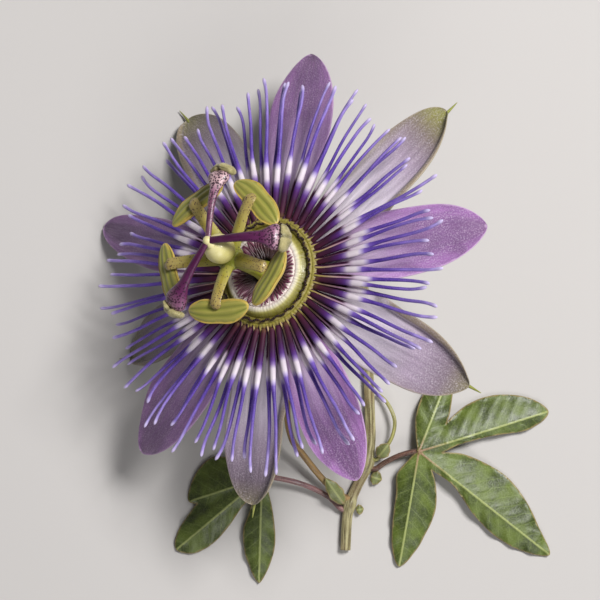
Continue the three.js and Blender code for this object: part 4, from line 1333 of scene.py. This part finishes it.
def pod_form(pod):
    """A long pod: three ridges on its back, a raised rim all round and two sacs of pollen beneath."""
    s = np.sin(np.linspace(-1, 1, 40) * math.pi / 2)[:, None]
    angle = circle(48)[None, :]
    across, outline, high = pod_section(s, angle)
    bow = -POD["bow"] * s**2 + POD["sway"] * np.sin(4 * s) * np.abs(across)
    x = across * outline * pod["width"] / 2 + bow
    y = np.broadcast_to(s * pod["length"] / 2, x.shape)
    z = high * np.maximum(outline, 0.2) * pod["thickness"] / 2
    rings = np.stack([x, y, z], axis=-1)
    for turn in (turn_about(z=pod["twist"]), turn_about(y=pod["tilt"]), turn_about(z=pod["heading"])):
        rings = rings @ turn
    rings = rings + np.array([*compass(pod["heading"]), 0]) * pod["radius"]
    rings = rings + np.array([0, 0, pod["height"]])
    return loft(
        rings,
        flat=np.stack([y, x, z], axis=-1),
        side=np.broadcast_to(across, x.shape),
        margin=np.minimum((1 - np.abs(across)) * outline * 2.1, (1 - np.abs(s)) * pod["length"] / 2),
        under=np.broadcast_to((np.sin(angle) < -0.15) * 1.0, x.shape),
    )


def pod_paint():
    """Yellow-green with long dark and pale stripes, a golden rim, and pollen beneath."""
    material, tree, shader = new_material("anther", 0.45, Sheen_Weight=0.1)
    flat = flat_place(tree)
    stripe = maths(tree, "PINGPONG", maths(tree, "MULTIPLY", fact(tree, "side"), 1.6), 0.5)
    body = ramp(tree, stripe, [(0.0, "a8a14e"), (0.2, "999742"), (0.36, "858736"), (0.5, "72772e")])
    streak = streaks(tree, flat, 10.0, 1.8)
    body = glaze(tree, body, "857e36", streak, 0.4)
    skin = use(tree, GRAIN_AND_GLINT, Vector=flat, Cells_per_mm=7.0)
    # Painted glints: faint pale specks where the grain would catch the light.
    body = glaze(tree, body, "d6cf8e", skin["Painted glint"], 0.1)
    rim = margin_mask(tree, flat, 0.5)
    body = glaze(tree, body, "c9ab50", rim, 0.85)
    pollen = mix(tree, noise(tree, flat, 6.0), srgb("c0a03c"), srgb("e2cf7a"))
    body = mix(tree, fact(tree, "under"), body, pollen)
    rough = varied(tree, streak, 0.38, 0.55)
    dress(tree, shader, body, rough, (streak, 0.3, 0.1), (skin["Height"], 0.15, 0.03))
    return material


POD_PAINT = pod_paint()
for k, pod in enumerate(PODS, 1):
    make_piece(f"anther_{k}_pod", placed(pod_form(pod)), POD_PAINT, [f"anther_{k}"])

# %% [markdown]
# ## Ovary, styles and stigmas
#
# Above the stamens sits the ovary, a waxy green egg. From the knob on its neck three styles arch
# over to their stigmas. The egg could be a plain ball, but three faint seams show where it will
# open. A style thickens to its end, and its stigma has two lobes that meet in a crease, so both
# are worked out ring by ring as well.

# %% The ovary and its knob
OVARY = dict(place=[-0.1, -0.6, 16.5], radius=2.6, height=2.85)
KNOB = dict(place=[0.5, -1.1, 19.8], radius=0.85, sides=20)


def ovary_form():
    """A smooth egg with three faint seams, and the knob on a short neck."""
    tilt = np.linspace(0.06, math.pi - 0.06, 36)[:, None]
    angle = circle(48)[None, :]
    seam = 1 - 0.02 * hill(np.sin(1.5 * angle + 0.6), 0.16) * np.sin(tilt)
    wide = OVARY["radius"] * np.sin(tilt) ** 0.92 * seam
    rings = around(wide, angle, OVARY["height"] * np.cos(tilt)) + np.array(OVARY["place"])
    egg = loft(rings, flat=rings, share=np.broadcast_to((1 - np.cos(tilt)) / 2, rings.shape[:2]))
    foot = np.array(OVARY["place"]) + np.array([0.1, -0.1, OVARY["height"] - 0.5])
    neck_line = smooth_line([foot, (foot + KNOB["place"]) / 2, KNOB["place"]], 10)
    neck = rod(neck_line, np.linspace(1.05, 0.7, 10), 16, share=0.0)
    unrolled = np.zeros((KNOB["sides"] // 2 + 1, KNOB["sides"], 3))
    knob = ball(KNOB["place"], [KNOB["radius"]] * 3, KNOB["sides"], flat=unrolled, share=0.0)
    return merged([egg, neck, knob])


def ovary_paint():
    """Waxy pale green, creamier at the top, faintly clouded."""
    material, tree, shader = new_material("ovary", 0.32, Coat_Weight=0.2)
    spot = place_mm(tree)
    body = ramp(tree, fact(tree, "share"), [
        (0.0, "dfd49c"), (0.35, "d0c57c"), (0.7, "aea653"), (1.0, "857f34"),
    ])
    cloud = between(tree, noise(tree, spot, 0.5, 4.0), 0.35, 0.7, 0.0, 0.3)
    body = glaze(tree, body, "a39d4a", cloud)
    skin = use(tree, GRAIN_AND_GLINT, Vector=spot, Cells_per_mm=5.0)
    # Painted glints: pale specks where the grain would catch the light.
    body = glaze(tree, body, "f5f2d8", skin["Painted glint"], 0.15)
    rough = between(tree, cloud, 0.0, 0.3, 0.28, 0.4)
    dress(tree, shader, body, rough, (skin["Height"], 0.12, 0.03))
    return material


make_piece("ovary_egg", placed(ovary_form()), ovary_paint(), ["ovary"], smoother=1)

# %% Styles and stigmas
STYLE = dict(root=0.62, growth=0.75, head=0.72, flat=0.8, groove=0.22)
STYLES = [
    dict(via=[3.0, -8.0, 19.6], end=[4.7, -12.6, 17.9], pink=0.6, girth=0.88, uneven=0.3),
    dict(via=[-6.6, -4.2, 19.5], end=[-11.4, -6.1, 17.6], pink=-0.1, girth=1.0, uneven=0.1),
    dict(via=[1.8, 4.8, 19.4], end=[3.7, 11.4, 17.4], pink=-0.2, girth=0.97, uneven=-0.1),
]
STIGMA = dict(width=4.8, depth=2.1, height=3.4, inside=0.1, below=0.35)


def style_line(style):
    """From just inside the knob, over the arch and down to the stigma."""
    return smooth_line([KNOB["place"], style["via"], style["end"]], 44)


def style_form(style):
    """A rod that swells to a two-lobed head and draws in just before the stigma."""
    line = style_line(style)
    t = np.linspace(0, 1, len(line))
    head = STYLE["head"] * smoothstep(t, 0.66, 0.9) - smoothstep(t, 0.92, 1.06)
    radii = style["girth"] * (STYLE["root"] + STYLE["growth"] * t**1.8 + head)
    way = line[-1] - line[0]
    level = np.array([-way[1], way[0], 0]) / np.hypot(way[0], way[1])
    section = dict(flat=STYLE["flat"] - 0.08 * t, ribs=2, rib=STYLE["groove"] * t**3, level=level)
    return rod(line, radii, 28, **section, share=t, pink=style["pink"])


def stigma_form(style):
    """Two rounded lobes, joined at a crease, that wrap over the end of the style."""
    line = style_line(style)
    ahead = line[-1] - line[-3]
    ahead[2] = 0
    ahead /= np.linalg.norm(ahead)
    sideways, up = np.array([-ahead[1], ahead[0], 0]), np.array([0, 0, 1])
    tilt = np.linspace(0.05, math.pi - 0.05, 26)[:, None]
    angle = circle(40)[None, :]
    y, z, x = np.moveaxis(around(np.sin(tilt), angle, np.cos(tilt)), -1, 0)
    crease = hill(x, 0.2)
    lobes = (1 + 0.10 * np.cos(2 * math.pi * x) * (1 - crease)) * (1 - style["uneven"] * x)
    side = x * STIGMA["width"] / 2 * (1 - 0.4 * style["uneven"] * x)
    wrap = 0.28 * np.abs(side)
    hollow_back = 0.3 * (y < 0) * (1 - x * x)
    depth = y * STIGMA["depth"] / 2 * (1 - 0.30 * crease) * lobes - wrap + hollow_back
    high = z * STIGMA["height"] / 2 * (1 - 0.22 * crease) * lobes
    middle = line[-1] + ahead * (STIGMA["depth"] / 2 - STIGMA["inside"]) - STIGMA["below"] * up
    rings = middle + side[..., None] * sideways + depth[..., None] * ahead + high[..., None] * up
    return loft(rings, flat=np.stack([side, depth, high], -1), crease=crease)


print("lengths of the styles in mm:", [round(length_of(style_line(style)), 1) for style in STYLES])


# %% Style and stigma paint
def style_paint():
    """Deep maroon that turns pink to the end, with dark spots."""
    material, tree, shader = new_material("style", 0.4, Coat_Weight=0.1)
    flat, share, pink = flat_place(tree), fact(tree, "share"), fact(tree, "pink")
    ripe = maths(tree, "ADD", share, maths(tree, "MULTIPLY", pink, 0.4), clamp=True)
    body = ramp(tree, ripe, [
        (0.0, "3c0c31"), (0.45, "4a143e"), (0.7, "5e2750"), (0.88, "a07189"), (1.0, "d3b2b5"),
    ])
    streak = streaks(tree, flat, 6.0, 1.8)
    fibre = mix(tree, pink, srgb("5d2250"), srgb("caa0a6"))
    body = mix(tree, maths(tree, "MULTIPLY", streak, 0.45), body, fibre)
    crowd = between(tree, ripe, 0.2, 0.7, 0.4, 1.0)
    size = between(tree, ripe, 0.3, 0.95, 0.24, 0.46)
    specks = use(tree, SPECKS, Vector=flat, Specks_per_mm=2.7, Share=crowd, Size=size)["Mask"]
    body = glaze(tree, body, "2c0c24", specks, 0.92)
    rough = varied(tree, streak, 0.34, 0.48)
    dress(tree, shader, body, rough, (streak, 0.3, 0.06), (specks, 0.15, 0.05))
    return material


def stigma_paint():
    """Dull cream-olive velvet, with a painted shade in the crease and painted glints."""
    material, tree, shader = new_material("stigma", 0.62, Sheen_Weight=0.2)
    flat = flat_place(tree)
    cloud = between(tree, noise(tree, flat, 0.8, 4.0), 0.35, 0.7)
    body = mix(tree, cloud, srgb("aca06c"), srgb("837a4a"))
    # Painted shade: darker in the crease between the two lobes.
    body = glaze(tree, body, "55502f", between(tree, fact(tree, "crease"), 0.35, 1.0, 0.0, 0.7))
    skin = use(tree, GRAIN_AND_GLINT, Vector=flat, Cells_per_mm=5.5)
    # Painted glints: pale specks where the velvet grain would catch the light.
    body = glaze(tree, body, "e6e0b8", skin["Painted glint"], 0.3)
    rough = varied(tree, cloud, 0.55, 0.7)
    dress(tree, shader, body, rough, (skin["Height"], 0.45, 0.06))
    return material


STYLE_PAINT, STIGMA_PAINT = style_paint(), stigma_paint()
for k, style in enumerate(STYLES, 1):
    make_piece(f"style_{k}_arm", placed(style_form(style)), STYLE_PAINT, [f"style_{k}"])
    make_piece(f"stigma_{k}_cap", placed(stigma_form(style)), STIGMA_PAINT, [f"stigma_{k}"])

# %% [markdown]
# ## Cup, bracts and stipules
#
# Behind the flower a shallow green cup holds the ten blades, three leafy bracts stand round it,
# and small stipules sit where leaves leave the vine. These young blades could be cut from flat
# card, but then their edges would show no thickness. Each is a closed sheet between two places,
# arched along, folded across, and waved at its edge. They share the leaf's paint.


# %% Leaf paint
VEIN_STEP = 2.5  # millimetres from one side vein to the next


def leaf_paint(name, young=0.0):
    """Dark green with paler veins, a thin tan margin and a paler back, paler flecks painted as
    highlights, painted glints, and a painted shade on blades in the flower's shade. Young blades are
    duller.
    """
    material, tree, shader = new_material(name, 0.4, Specular_IOR_Level=0.62)
    flat, from_rib = flat_place(tree), fact(tree, "rib")
    veins = use(tree, VEINS, Vector=flat, Slant=fact(tree, "slant"), Rib=from_rib, Spacing=VEIN_STEP)
    cloud = between(tree, noise(tree, flat, 0.22, 4.0), 0.35, 0.68)
    body = mix(tree, cloud, srgb("323e0a"), srgb("5b6b1c"))
    # Painted highlights: paler green flecks where a glossy leaf would catch the light.
    body = glaze(tree, body, "74873a", between(tree, noise(tree, flat, 1.4), 0.5, 0.75), 0.3)
    body = glaze(tree, body, "8a9a52", veins["Mask"], 0.34)
    midrib = between(tree, from_rib, 0.26, 0.08)
    rib_tone = mix(tree, between(tree, fact(tree, "share"), 0.0, 0.3), srgb("9b6b58"), srgb("a3aa66"))
    body = mix(tree, maths(tree, "MULTIPLY", midrib, 0.75), body, rib_tone)
    body = glaze(tree, body, "868656", young)
    rim = margin_mask(tree, flat, 0.34)
    body = glaze(tree, body, "a08a5e", rim, 0.75)
    body = glaze(tree, body, "8a9a6c", fact(tree, "under"), 0.7)
    skin = use(tree, GRAIN_AND_GLINT, Vector=flat, Cells_per_mm=4.0)
    # Painted glints: pale specks where the grain would catch the light.
    body = glaze(tree, body, "c2c99a", skin["Painted glint"], 0.12)
    # Painted shade: blades that lie in the flower's shade are darkened.
    body = glaze(tree, body, "26280c", fact(tree, "dim"), 0.45)
    rough = varied(tree, cloud, 0.44, 0.54)
    dress(tree, shader, body, rough, (veins["Height"], 0.15, 0.15), (skin["Height"], 0.12, 0.04))
    return material


LEAF_PAINT, YOUNG_PAINT = leaf_paint("leaf"), leaf_paint("young leaf", 0.45)
print("nodes in the leaf's material:", len(LEAF_PAINT.node_tree.nodes))

# %% The numbers of cup, bracts and stipules
CUP = dict(ribs=10, rim=8.3, drawing_radius=6)
CUP_PROFILE = [
    [0.05, -8.65], [1.3, -8.6], [2.6, -8.2], [4.4, -7.2], [6.4, -6.1], [7.7, -5.0], [8.3, -3.9],
    [8.1, -3.4], [7.0, -3.3], [0.05, -1.2],
]
BRACTS = dict(count=3, turn=20, root_radius=1.2, reach=17, width=10.5, root=-8.7, tip=-7.4, arch=-0.8)
STIPULES = {
    "stipule_left_upper": dict(root=[3.2, -33.9, 3.4], tip=[-0.3, -29.0, 4.8], width=2.9),
    "stipule_left_lower": dict(root=[5.5, -35.2, 1.5], tip=[7.0, -35.0, 1.2], width=1.9),
    "stipule_right_upper": dict(root=[9.6, -25.2, 3.0], tip=[11.6, -22.6, 3.9], width=2.7),
    "stipule_right_lower": dict(root=[8.3, -28.9, 1.3], tip=[10.4, -29.6, 1.0], width=2.7),
}
STIPULE_ARCH = 0.35
SCALE_TOP, SCALE_BACK = 0.05, 0.40
print("bracts:", BRACTS["count"], "and stipules:", len(STIPULES))


# %% Cup, bracts and stipules
def cup_form():
    """A shallow bowl with ten soft ribs, one below each blade."""
    profile = smooth_line(CUP_PROFILE, 48)
    angle = circle(100)[None, :]
    radius = profile[:, 0][:, None] * (1 + 0.03 * np.cos(CUP["ribs"] * angle))
    rings = around(radius, angle, profile[:, 1][:, None])
    drawn = around(CUP["drawing_radius"], angle, radius)[..., [2, 0, 1]]
    return loft(rings, flat=drawn, share=profile[:, 0] / CUP["rim"])


def scale_form(root, tip, width, arch, dim=0.0):
    """A pointed leafy blade between two places, arched along and folded across, with a waved edge."""
    root, tip = np.asarray(root, float), np.asarray(tip, float)
    length = np.linalg.norm(tip - root)
    s, side = np.linspace(0, 1, 30)[:, None], np.linspace(-1, 1, 17)[None, :]
    sideways = np.array([root[1] - tip[1], tip[0] - root[0], 0]) / np.hypot(*(tip - root)[:2])
    half = width / 2 * np.maximum(np.sin(math.pi * s**0.8).clip(0) ** 0.7, 0.16 * (1 - s))
    half = half * (1 + 0.05 * np.sin(20 * s) * np.abs(side))
    folded = 0.12 * width * side**2
    waved = 0.05 * width * np.sin(13 * s + 2 * side) * side**2
    lift = arch * np.sin(math.pi * s) - folded + waved
    grid = root + (tip - root) * s[..., None] + sideways * (side * half)[..., None]
    up = np.array([0, 0, 1.0])
    off = np.abs(side * half)
    return sheet(
        grid + up * (lift - SCALE_TOP)[..., None],
        grid + up * (lift - SCALE_BACK)[..., None],
        flat=np.stack(np.broadcast_arrays(s * length, side * half, 0 * s), -1),
        rib=off,
        slant=s * length - 0.8 * off + 0.9 * (side > 0),
        margin=np.minimum(half * (1 - np.abs(side)), (1 - s) * length),
        share=s,
        under=(0 * s, 0 * s + 1),
        dim=dim,
    )


def cup_paint():
    """Dull green with paler ribs and a fine grain."""
    material, tree, shader = new_material("calyx cup", 0.5)
    streak = streaks(tree, flat_place(tree), 3.0, 1.5)
    body = mix(tree, streak, srgb("7f9152"), srgb("a3ab6f"))
    body = glaze(tree, body, "b5a9a0", between(tree, fact(tree, "share"), 0.85, 1.0, 0.0, 0.5))
    skin = use(tree, GRAIN_AND_GLINT, Vector=place_mm(tree), Cells_per_mm=3.5)
    # Painted glints: pale specks where the grain would catch the light.
    body = glaze(tree, body, "d5d8b4", skin["Painted glint"], 0.2)
    rough = varied(tree, streak, 0.45, 0.58)
    dress(tree, shader, body, rough, (streak, 0.3, 0.1), (skin["Height"], 0.25, 0.05))
    return material


make_piece("calyx_cup_bowl", placed(cup_form()), cup_paint(), ["calyx_cup"])
for k in range(BRACTS["count"]):
    way = np.array([*compass(BRACTS["turn"] + k * 360 / BRACTS["count"]), 0])
    root = way * BRACTS["root_radius"] + np.array([0, 0, BRACTS["root"]])
    tip = way * BRACTS["reach"] + np.array([0, 0, BRACTS["tip"]])
    # The bracts lie under the flower and take a little painted shade.
    bract = scale_form(root, tip, BRACTS["width"], BRACTS["arch"], dim=0.1)
    make_piece(f"bract_{k + 1}_blade", placed(bract), YOUNG_PAINT, [f"bract_{k + 1}"])
for name, place in STIPULES.items():
    make_piece(f"{name}_blade", scale_form(**place, arch=STIPULE_ARCH), YOUNG_PAINT, [name])

# %% [markdown]
# ## The vine
#
# A long stalk carries the flower down to the vine. The stem is a rod with five ribs, swollen
# where leaves grow from it, and cut straight at both ends. Curve objects with a bevel would draw
# such rods at once, but a bevel can't be ribbed, swollen or rounded off ring by ring. Stalks and
# tendril run on into the stem, so that they grow from it and don't just end beside it.

# %% The lines of the vine
STEM = dict(radius=0.95, ribs=5, rib=0.055, swelling=0.26, cut_inset=[0.45, 0.85, 0.97], cut_step=0.02)
STEM_LINE = [
    [3.5, -42.7, 1.0], [3.9, -36.2, 1.0], [4.6, -33.3, 1.0], [5.9, -30.3, 1.0], [7.5, -27.1, 1.0],
    [8.2, -22.1, 1.0], [8.1, -17.4, 1.0], [7.9, -10.8, 1.0], [7.4, -1.4, 1.0], [6.8, 7.0, 1.0],
]
STEM_JOINTS = np.array([[4.3, -34.2, 1.0], [7.7, -26.4, 1.0]])
STALK_SEATS = in_flower([[0, 0, -8.5], [0, 0, -11.5]]).tolist()
STALKS = {
    "peduncle": dict(radius=0.62, line=STALK_SEATS + [
        [-3.2, 2.0, 17.4], [-4.6, -6.0, 12.4], [-7.3, -15.0, 8.8], [-6.5, -21.5, 6.8],
        [-4.4, -24.6, 5.0], [-0.25, -29.8, 2.9], [3.1, -32.7, 1.9],
    ]),
    "petiole_left": dict(radius=0.5, line=[
        [-11.9, -28.9, 3.1], [-10.9, -28.9, 3.0], [-6.5, -29.7, 2.8], [-2.8, -31.0, 2.2],
        [0.6, -32.9, 1.7], [2.75, -35.0, 1.3],
    ]),
    "petiole_right": dict(radius=0.5, line=[
        [17.0, -24.1, 3.0], [16.1, -24.2, 2.9], [13.7, -24.9, 2.4], [10.9, -26.3, 1.7],
        [9.1, -27.5, 1.3],
    ]),
    "tendril": dict(radius=0.35, line=[
        [9.5, -13.6, 0.9], [10.2, -13.9, 1.4], [11.6, -15.5, 2.2], [12.7, -18.4, 2.6],
        [12.3, -21.2, 2.5], [11.0, -23.6, 2.0], [9.3, -25.7, 1.6],
    ]),
}
STEM_MIDDLE = smooth_line(STEM_LINE, 150)
print("stalks and tendrils on the stem:", list(STALKS))


# %% The forms of the vine
def unit(way):
    """The same way, one millimetre long."""
    return way / np.linalg.norm(way)


def stem_form():
    """A ribbed rod with swollen joints and flat cut ends."""
    swell = sum(hill(np.linalg.norm(STEM_MIDDLE - joint, axis=1), 1.1) for joint in STEM_JOINTS)
    radii = STEM["radius"] * (1 + STEM["swelling"] * swell)
    line = STEM_MIDDLE + np.array([0, 0, 1]) * (radii - STEM["radius"])[:, None]
    outward, onward = unit(line[0] - line[1]), unit(line[-1] - line[-2])
    before = [line[0] + outward * STEM["cut_step"] * step for step in (3, 2, 1)]
    after = [line[-1] + onward * STEM["cut_step"] * step for step in (1, 2, 3)]
    ends = np.array(STEM["cut_inset"]) * STEM["radius"]
    return rod(
        np.concatenate([before, line, after]),
        np.concatenate([ends, radii, ends[::-1]]),
        40,
        ribs=STEM["ribs"],
        rib=STEM["rib"],
        cut=np.concatenate([[1, 1, 0.4], np.zeros(len(line)), [0.4, 1, 1]]),
    )


def stalk_form(line, radius):
    """A thin stalk that broadens where it runs into the stem's middle line."""
    inside = STEM_MIDDLE[np.argmin(np.linalg.norm(STEM_MIDDLE - np.array(line[-1]), axis=1))]
    whole = smooth_line(line + [inside.tolist()], 90)
    t = np.linspace(0, 1, len(whole))
    radii = radius * (1 + 0.35 * hill(1 - t, 0.05) + 0.18 * hill(t, 0.06))
    return rod(whole, radii * round_ends(len(t), 2, 2), 18, ribs=3, rib=0.05, cut=0.0)


stem = stem_form()
print("the stem has", len(stem["points"]), "points")


# %% The paint of the vine, and its pieces
def stem_paint(name, low, high, patches):
    """Fibres in two colours along the stalk, with patches of a third, and a pale pith at the cuts."""
    material, tree, shader = new_material(name, 0.45)
    flat = flat_place(tree)
    streak = streaks(tree, flat, 12.0, 2.4)
    body = mix(tree, streak, srgb(low), srgb(high))
    body = glaze(tree, body, patches, between(tree, noise(tree, flat, 0.12, 2.0), 0.45, 0.65), 0.35)
    skin = use(tree, GRAIN_AND_GLINT, Vector=flat, Cells_per_mm=4.5)
    # Painted glints: pale specks where the grain would catch the light.
    body = glaze(tree, body, "dfe2bd", skin["Painted glint"], 0.16)
    body = glaze(tree, body, "d8d3ac", between(tree, fact(tree, "cut"), 0.5, 0.9))
    rough = varied(tree, streak, 0.38, 0.52)
    dress(tree, shader, body, rough, (skin["Height"], 0.12, 0.03), (streak, 0.5, 0.1))
    return material


STALK_PAINTS = {
    "peduncle": stem_paint("flower stalk", "75563a", "a58350", "8a7c48"),
    "petiole_left": stem_paint("left leaf stalk", "65404a", "96696a", "4f3d2b"),
    "petiole_right": stem_paint("right leaf stalk", "4a2c2a", "6f4a3e", "6a5236"),
    "tendril": stem_paint("tendril", "77703e", "a4a05c", "8b8a48"),
}
make_piece("stem_rod", stem, stem_paint("stem", "63573a", "b2a97c", "80614a"), ["stem"])
for name, stalk in STALKS.items():
    make_piece(f"{name}_rod", stalk_form(**stalk), STALK_PAINTS[name], [name])

# %% [markdown]
# ## The two leaves
#
# Each leaf is one blade cut into narrow lobes. Lofting every lobe on its own would leave seams
# where they meet, so the outlines are laid over each other and the whole leaf is meshed at once
# with small triangles. Each point then looks for its nearest midrib: the blade hangs down to
# both sides of it like a roof, side veins sink between low pillows, and the margin waves.

# %% The outlines of the leaves
LEAF = dict(crown=3.6, tip=0.75, lowest=0.5, thickness=0.42, pillow=0.16, wave=0.28, midrib=0.12)
CELL, RIB_CELL = 0.5, 0.4  # the spacing of points over the leaf and along its midribs
LEAF_RIGHT = dict(at=[17.2, -24.1], dim=0.0, lobes=[
    dict(length=15.4, heading=68,
         left=[[0.15, 1.5], [0.4, 3.0], [0.7, 3.0], [0.9, 1.6]],
         right=[[0.1, 1.4], [0.45, 2.9], [0.75, 2.2], [0.92, 1.2]]),
    dict(length=25.6, heading=16.8,
         left=[[0.16, 1.6], [0.28, 3.9], [0.46, 5.7], [0.66, 5.8], [0.9, 3.3]],
         right=[[0.1, 1.5], [0.3, 1.0], [0.56, 1.3], [0.8, 2.2], [0.95, 1.3]]),
    dict(length=31.5, heading=-38.4,
         left=[[0.1, 2.3], [0.2, 4.5], [0.33, 5.8], [0.51, 6.5], [0.69, 5.2], [0.85, 2.8]],
         right=[[0.1, 1.2], [0.28, 1.0], [0.5, 3.0], [0.7, 3.6], [0.88, 2.4]]),
    dict(length=22.1, heading=-99.3,
         left=[[0.1, 2.4], [0.26, 4.2], [0.48, 5.0], [0.66, 4.1], [0.87, 2.3]],
         right=[[0.08, 1.6], [0.22, 3.3], [0.38, 2.9], [0.65, 2.6], [0.88, 1.7]]),
])
# The left leaf lies in the flower's shade and takes a painted shade.
LEAF_LEFT = dict(at=[-12.1, -28.9], dim=0.5, lobes=[
    dict(length=14.6, heading=-161,
         left=[[0.15, 1.2], [0.4, 1.6], [0.75, 1.4]],
         right=[[0.12, 2.2], [0.3, 5.0], [0.5, 6.4], [0.7, 5.6], [0.9, 3.0]]),
    dict(length=21.3, heading=-139.5,
         left=[[0.12, 1.4], [0.29, 1.8], [0.5, 3.0], [0.7, 3.6], [0.9, 2.7]],
         right=[[0.12, 1.6], [0.3, 2.6], [0.5, 4.2], [0.7, 3.6], [0.9, 2.2]]),
    dict(length=20.1, heading=-91.8,
         left=[[0.12, 1.2], [0.4, 2.5], [0.65, 2.8], [0.87, 1.6]],
         right=[[0.12, 1.2], [0.3, 2.0], [0.5, 3.2], [0.7, 2.9], [0.9, 1.4]]),
])


def lobe_outline(lobe):
    """A smooth closed curve up the right side of a lobe, round its tip and back on the left."""
    cos, sin = compass(lobe["heading"])
    corners = [[-0.02, 0]] + [[share, -wide] for share, wide in lobe["right"]] + [[1, 0]]
    corners += [[share, wide] for share, wide in reversed(lobe["left"])] + [[-0.02, 0]]
    along, across = np.array(corners)[:, 0] * lobe["length"], np.array(corners)[:, 1]
    turned_corners = np.stack([along * cos - across * sin, along * sin + across * cos], -1)
    return smooth_line(turned_corners, 120)[:-1]


print("lobes of the two leaves:", len(LEAF_LEFT["lobes"]), "and", len(LEAF_RIGHT["lobes"]))


# %% The mesh of a leaf
def leaf_mesh(lobes):
    """The points and triangles of all lobes laid over each other, and the loose edge of the whole."""
    outlines = [lobe_outline(lobe) for lobe in lobes]
    reach = max(lobe["length"] for lobe in lobes) + 1
    steps = np.arange(-reach, reach, CELL)
    grid = np.array([[x + (k % 2) * CELL / 2, y] for k, y in enumerate(steps) for x in steps])
    ribs = []
    for lobe in lobes:
        way = np.array(compass(lobe["heading"]))
        ribs += [way * d for d in np.arange(RIB_CELL, lobe["length"] - 0.3, RIB_CELL)]
    points = np.concatenate(outlines + [grid, ribs])
    starts = np.cumsum([0] + [len(outline) for outline in outlines])
    rings = [list(range(a, b)) for a, b in zip(starts[:-1], starts[1:])]
    flat, _, triangles, *_ = geometry.delaunay_2d_cdt([Vector(p) for p in points], [], rings, 1, 1e-4)
    flat = np.array([tuple(p) for p in flat])
    used = sorted({k for face in triangles for k in face})
    place = {k: n for n, k in enumerate(used)}
    triangles = [tuple(place[k] for k in face) for face in triangles]
    sides = {(a, b) for face in triangles for a, b in zip(face, face[1:] + face[:1])}
    return flat[used], triangles, [(a, b) for a, b in sides if (b, a) not in sides]


def leaf_relief(flat, lobes):
    """How high a leaf's roof stands at each point, with its nearest lobe and its place on that."""
    roofs, weights, offs, shares, slants = [], [], [], [], []
    for lobe in lobes:
        cos, sin = compass(lobe["heading"])
        along, across = flat @ [cos, sin], flat @ [-sin, cos]
        kept = np.clip(along, 0, lobe["length"])
        off = np.hypot(flat[:, 0] - kept * cos, flat[:, 1] - kept * sin)
        share = kept / lobe["length"]
        ridge = LEAF["crown"] + (LEAF["tip"] - LEAF["crown"]) * share**1.8
        roofs.append(ridge - 0.2 * off - 0.03 * off**2)
        weights.append(np.exp(-2.0 * off))
        offs.append(off)
        shares.append(share)
        slants.append(along - 0.75 * off - 0.02 * off**2 + 0.5 * VEIN_STEP * (across > 0))
    roof = np.sum(np.array(roofs) * weights, axis=0) / np.sum(weights, axis=0)
    nearest = np.argmin(offs, axis=0)
    chosen = [np.array(rows)[nearest, np.arange(len(flat))] for rows in (offs, shares, slants)]
    return roof, nearest, *chosen


def leaf_form(leaf):
    """The whole blade: a roof over each midrib, with pillows between its veins and a waved edge."""
    flat, triangles, edge = leaf_mesh(leaf["lobes"])
    rim = flat[[a for a, _ in edge]]
    margin = np.array([np.min(np.hypot(*(rim - p).T)) for p in flat])
    roof, nearest, off, share, slant = leaf_relief(flat, leaf["lobes"])
    pillow = LEAF["pillow"] * np.abs(np.sin(math.pi * slant / VEIN_STEP))
    pillow = pillow * smoothstep(off, 0.3, 1.2) * smoothstep(margin, 0, 1)
    wave = LEAF["wave"] * np.sin(1.3 * slant + 2 * nearest) * smoothstep(1.6 - margin, 0, 1.6)
    midrib = LEAF["midrib"] * hill(off, 0.22)
    high = np.maximum(roof + pillow + wave + midrib, LEAF["lowest"])
    top = np.column_stack([flat + leaf["at"], high])
    back = top - [0, 0, LEAF["thickness"]]
    count = len(flat)
    faces = triangles + [tuple(k + count for k in face[::-1]) for face in triangles]
    faces += [(b, a, a + count, b + count) for a, b in edge]
    twice = {"rib": off, "share": share, "slant": slant, "margin": margin}
    spread = {label: np.concatenate([values, values]) for label, values in twice.items()}
    under = np.concatenate([np.zeros(count), np.ones(count)])
    drawn = np.column_stack([np.concatenate([flat, flat]), np.zeros(2 * count)])
    return form(np.concatenate([top, back]), faces, flat=drawn, under=under, dim=leaf["dim"], **spread)


make_piece("leaf_left_blade", leaf_form(LEAF_LEFT), LEAF_PAINT, ["leaf_left"])
make_piece("leaf_right_blade", leaf_form(LEAF_RIGHT), LEAF_PAINT, ["leaf_right"])
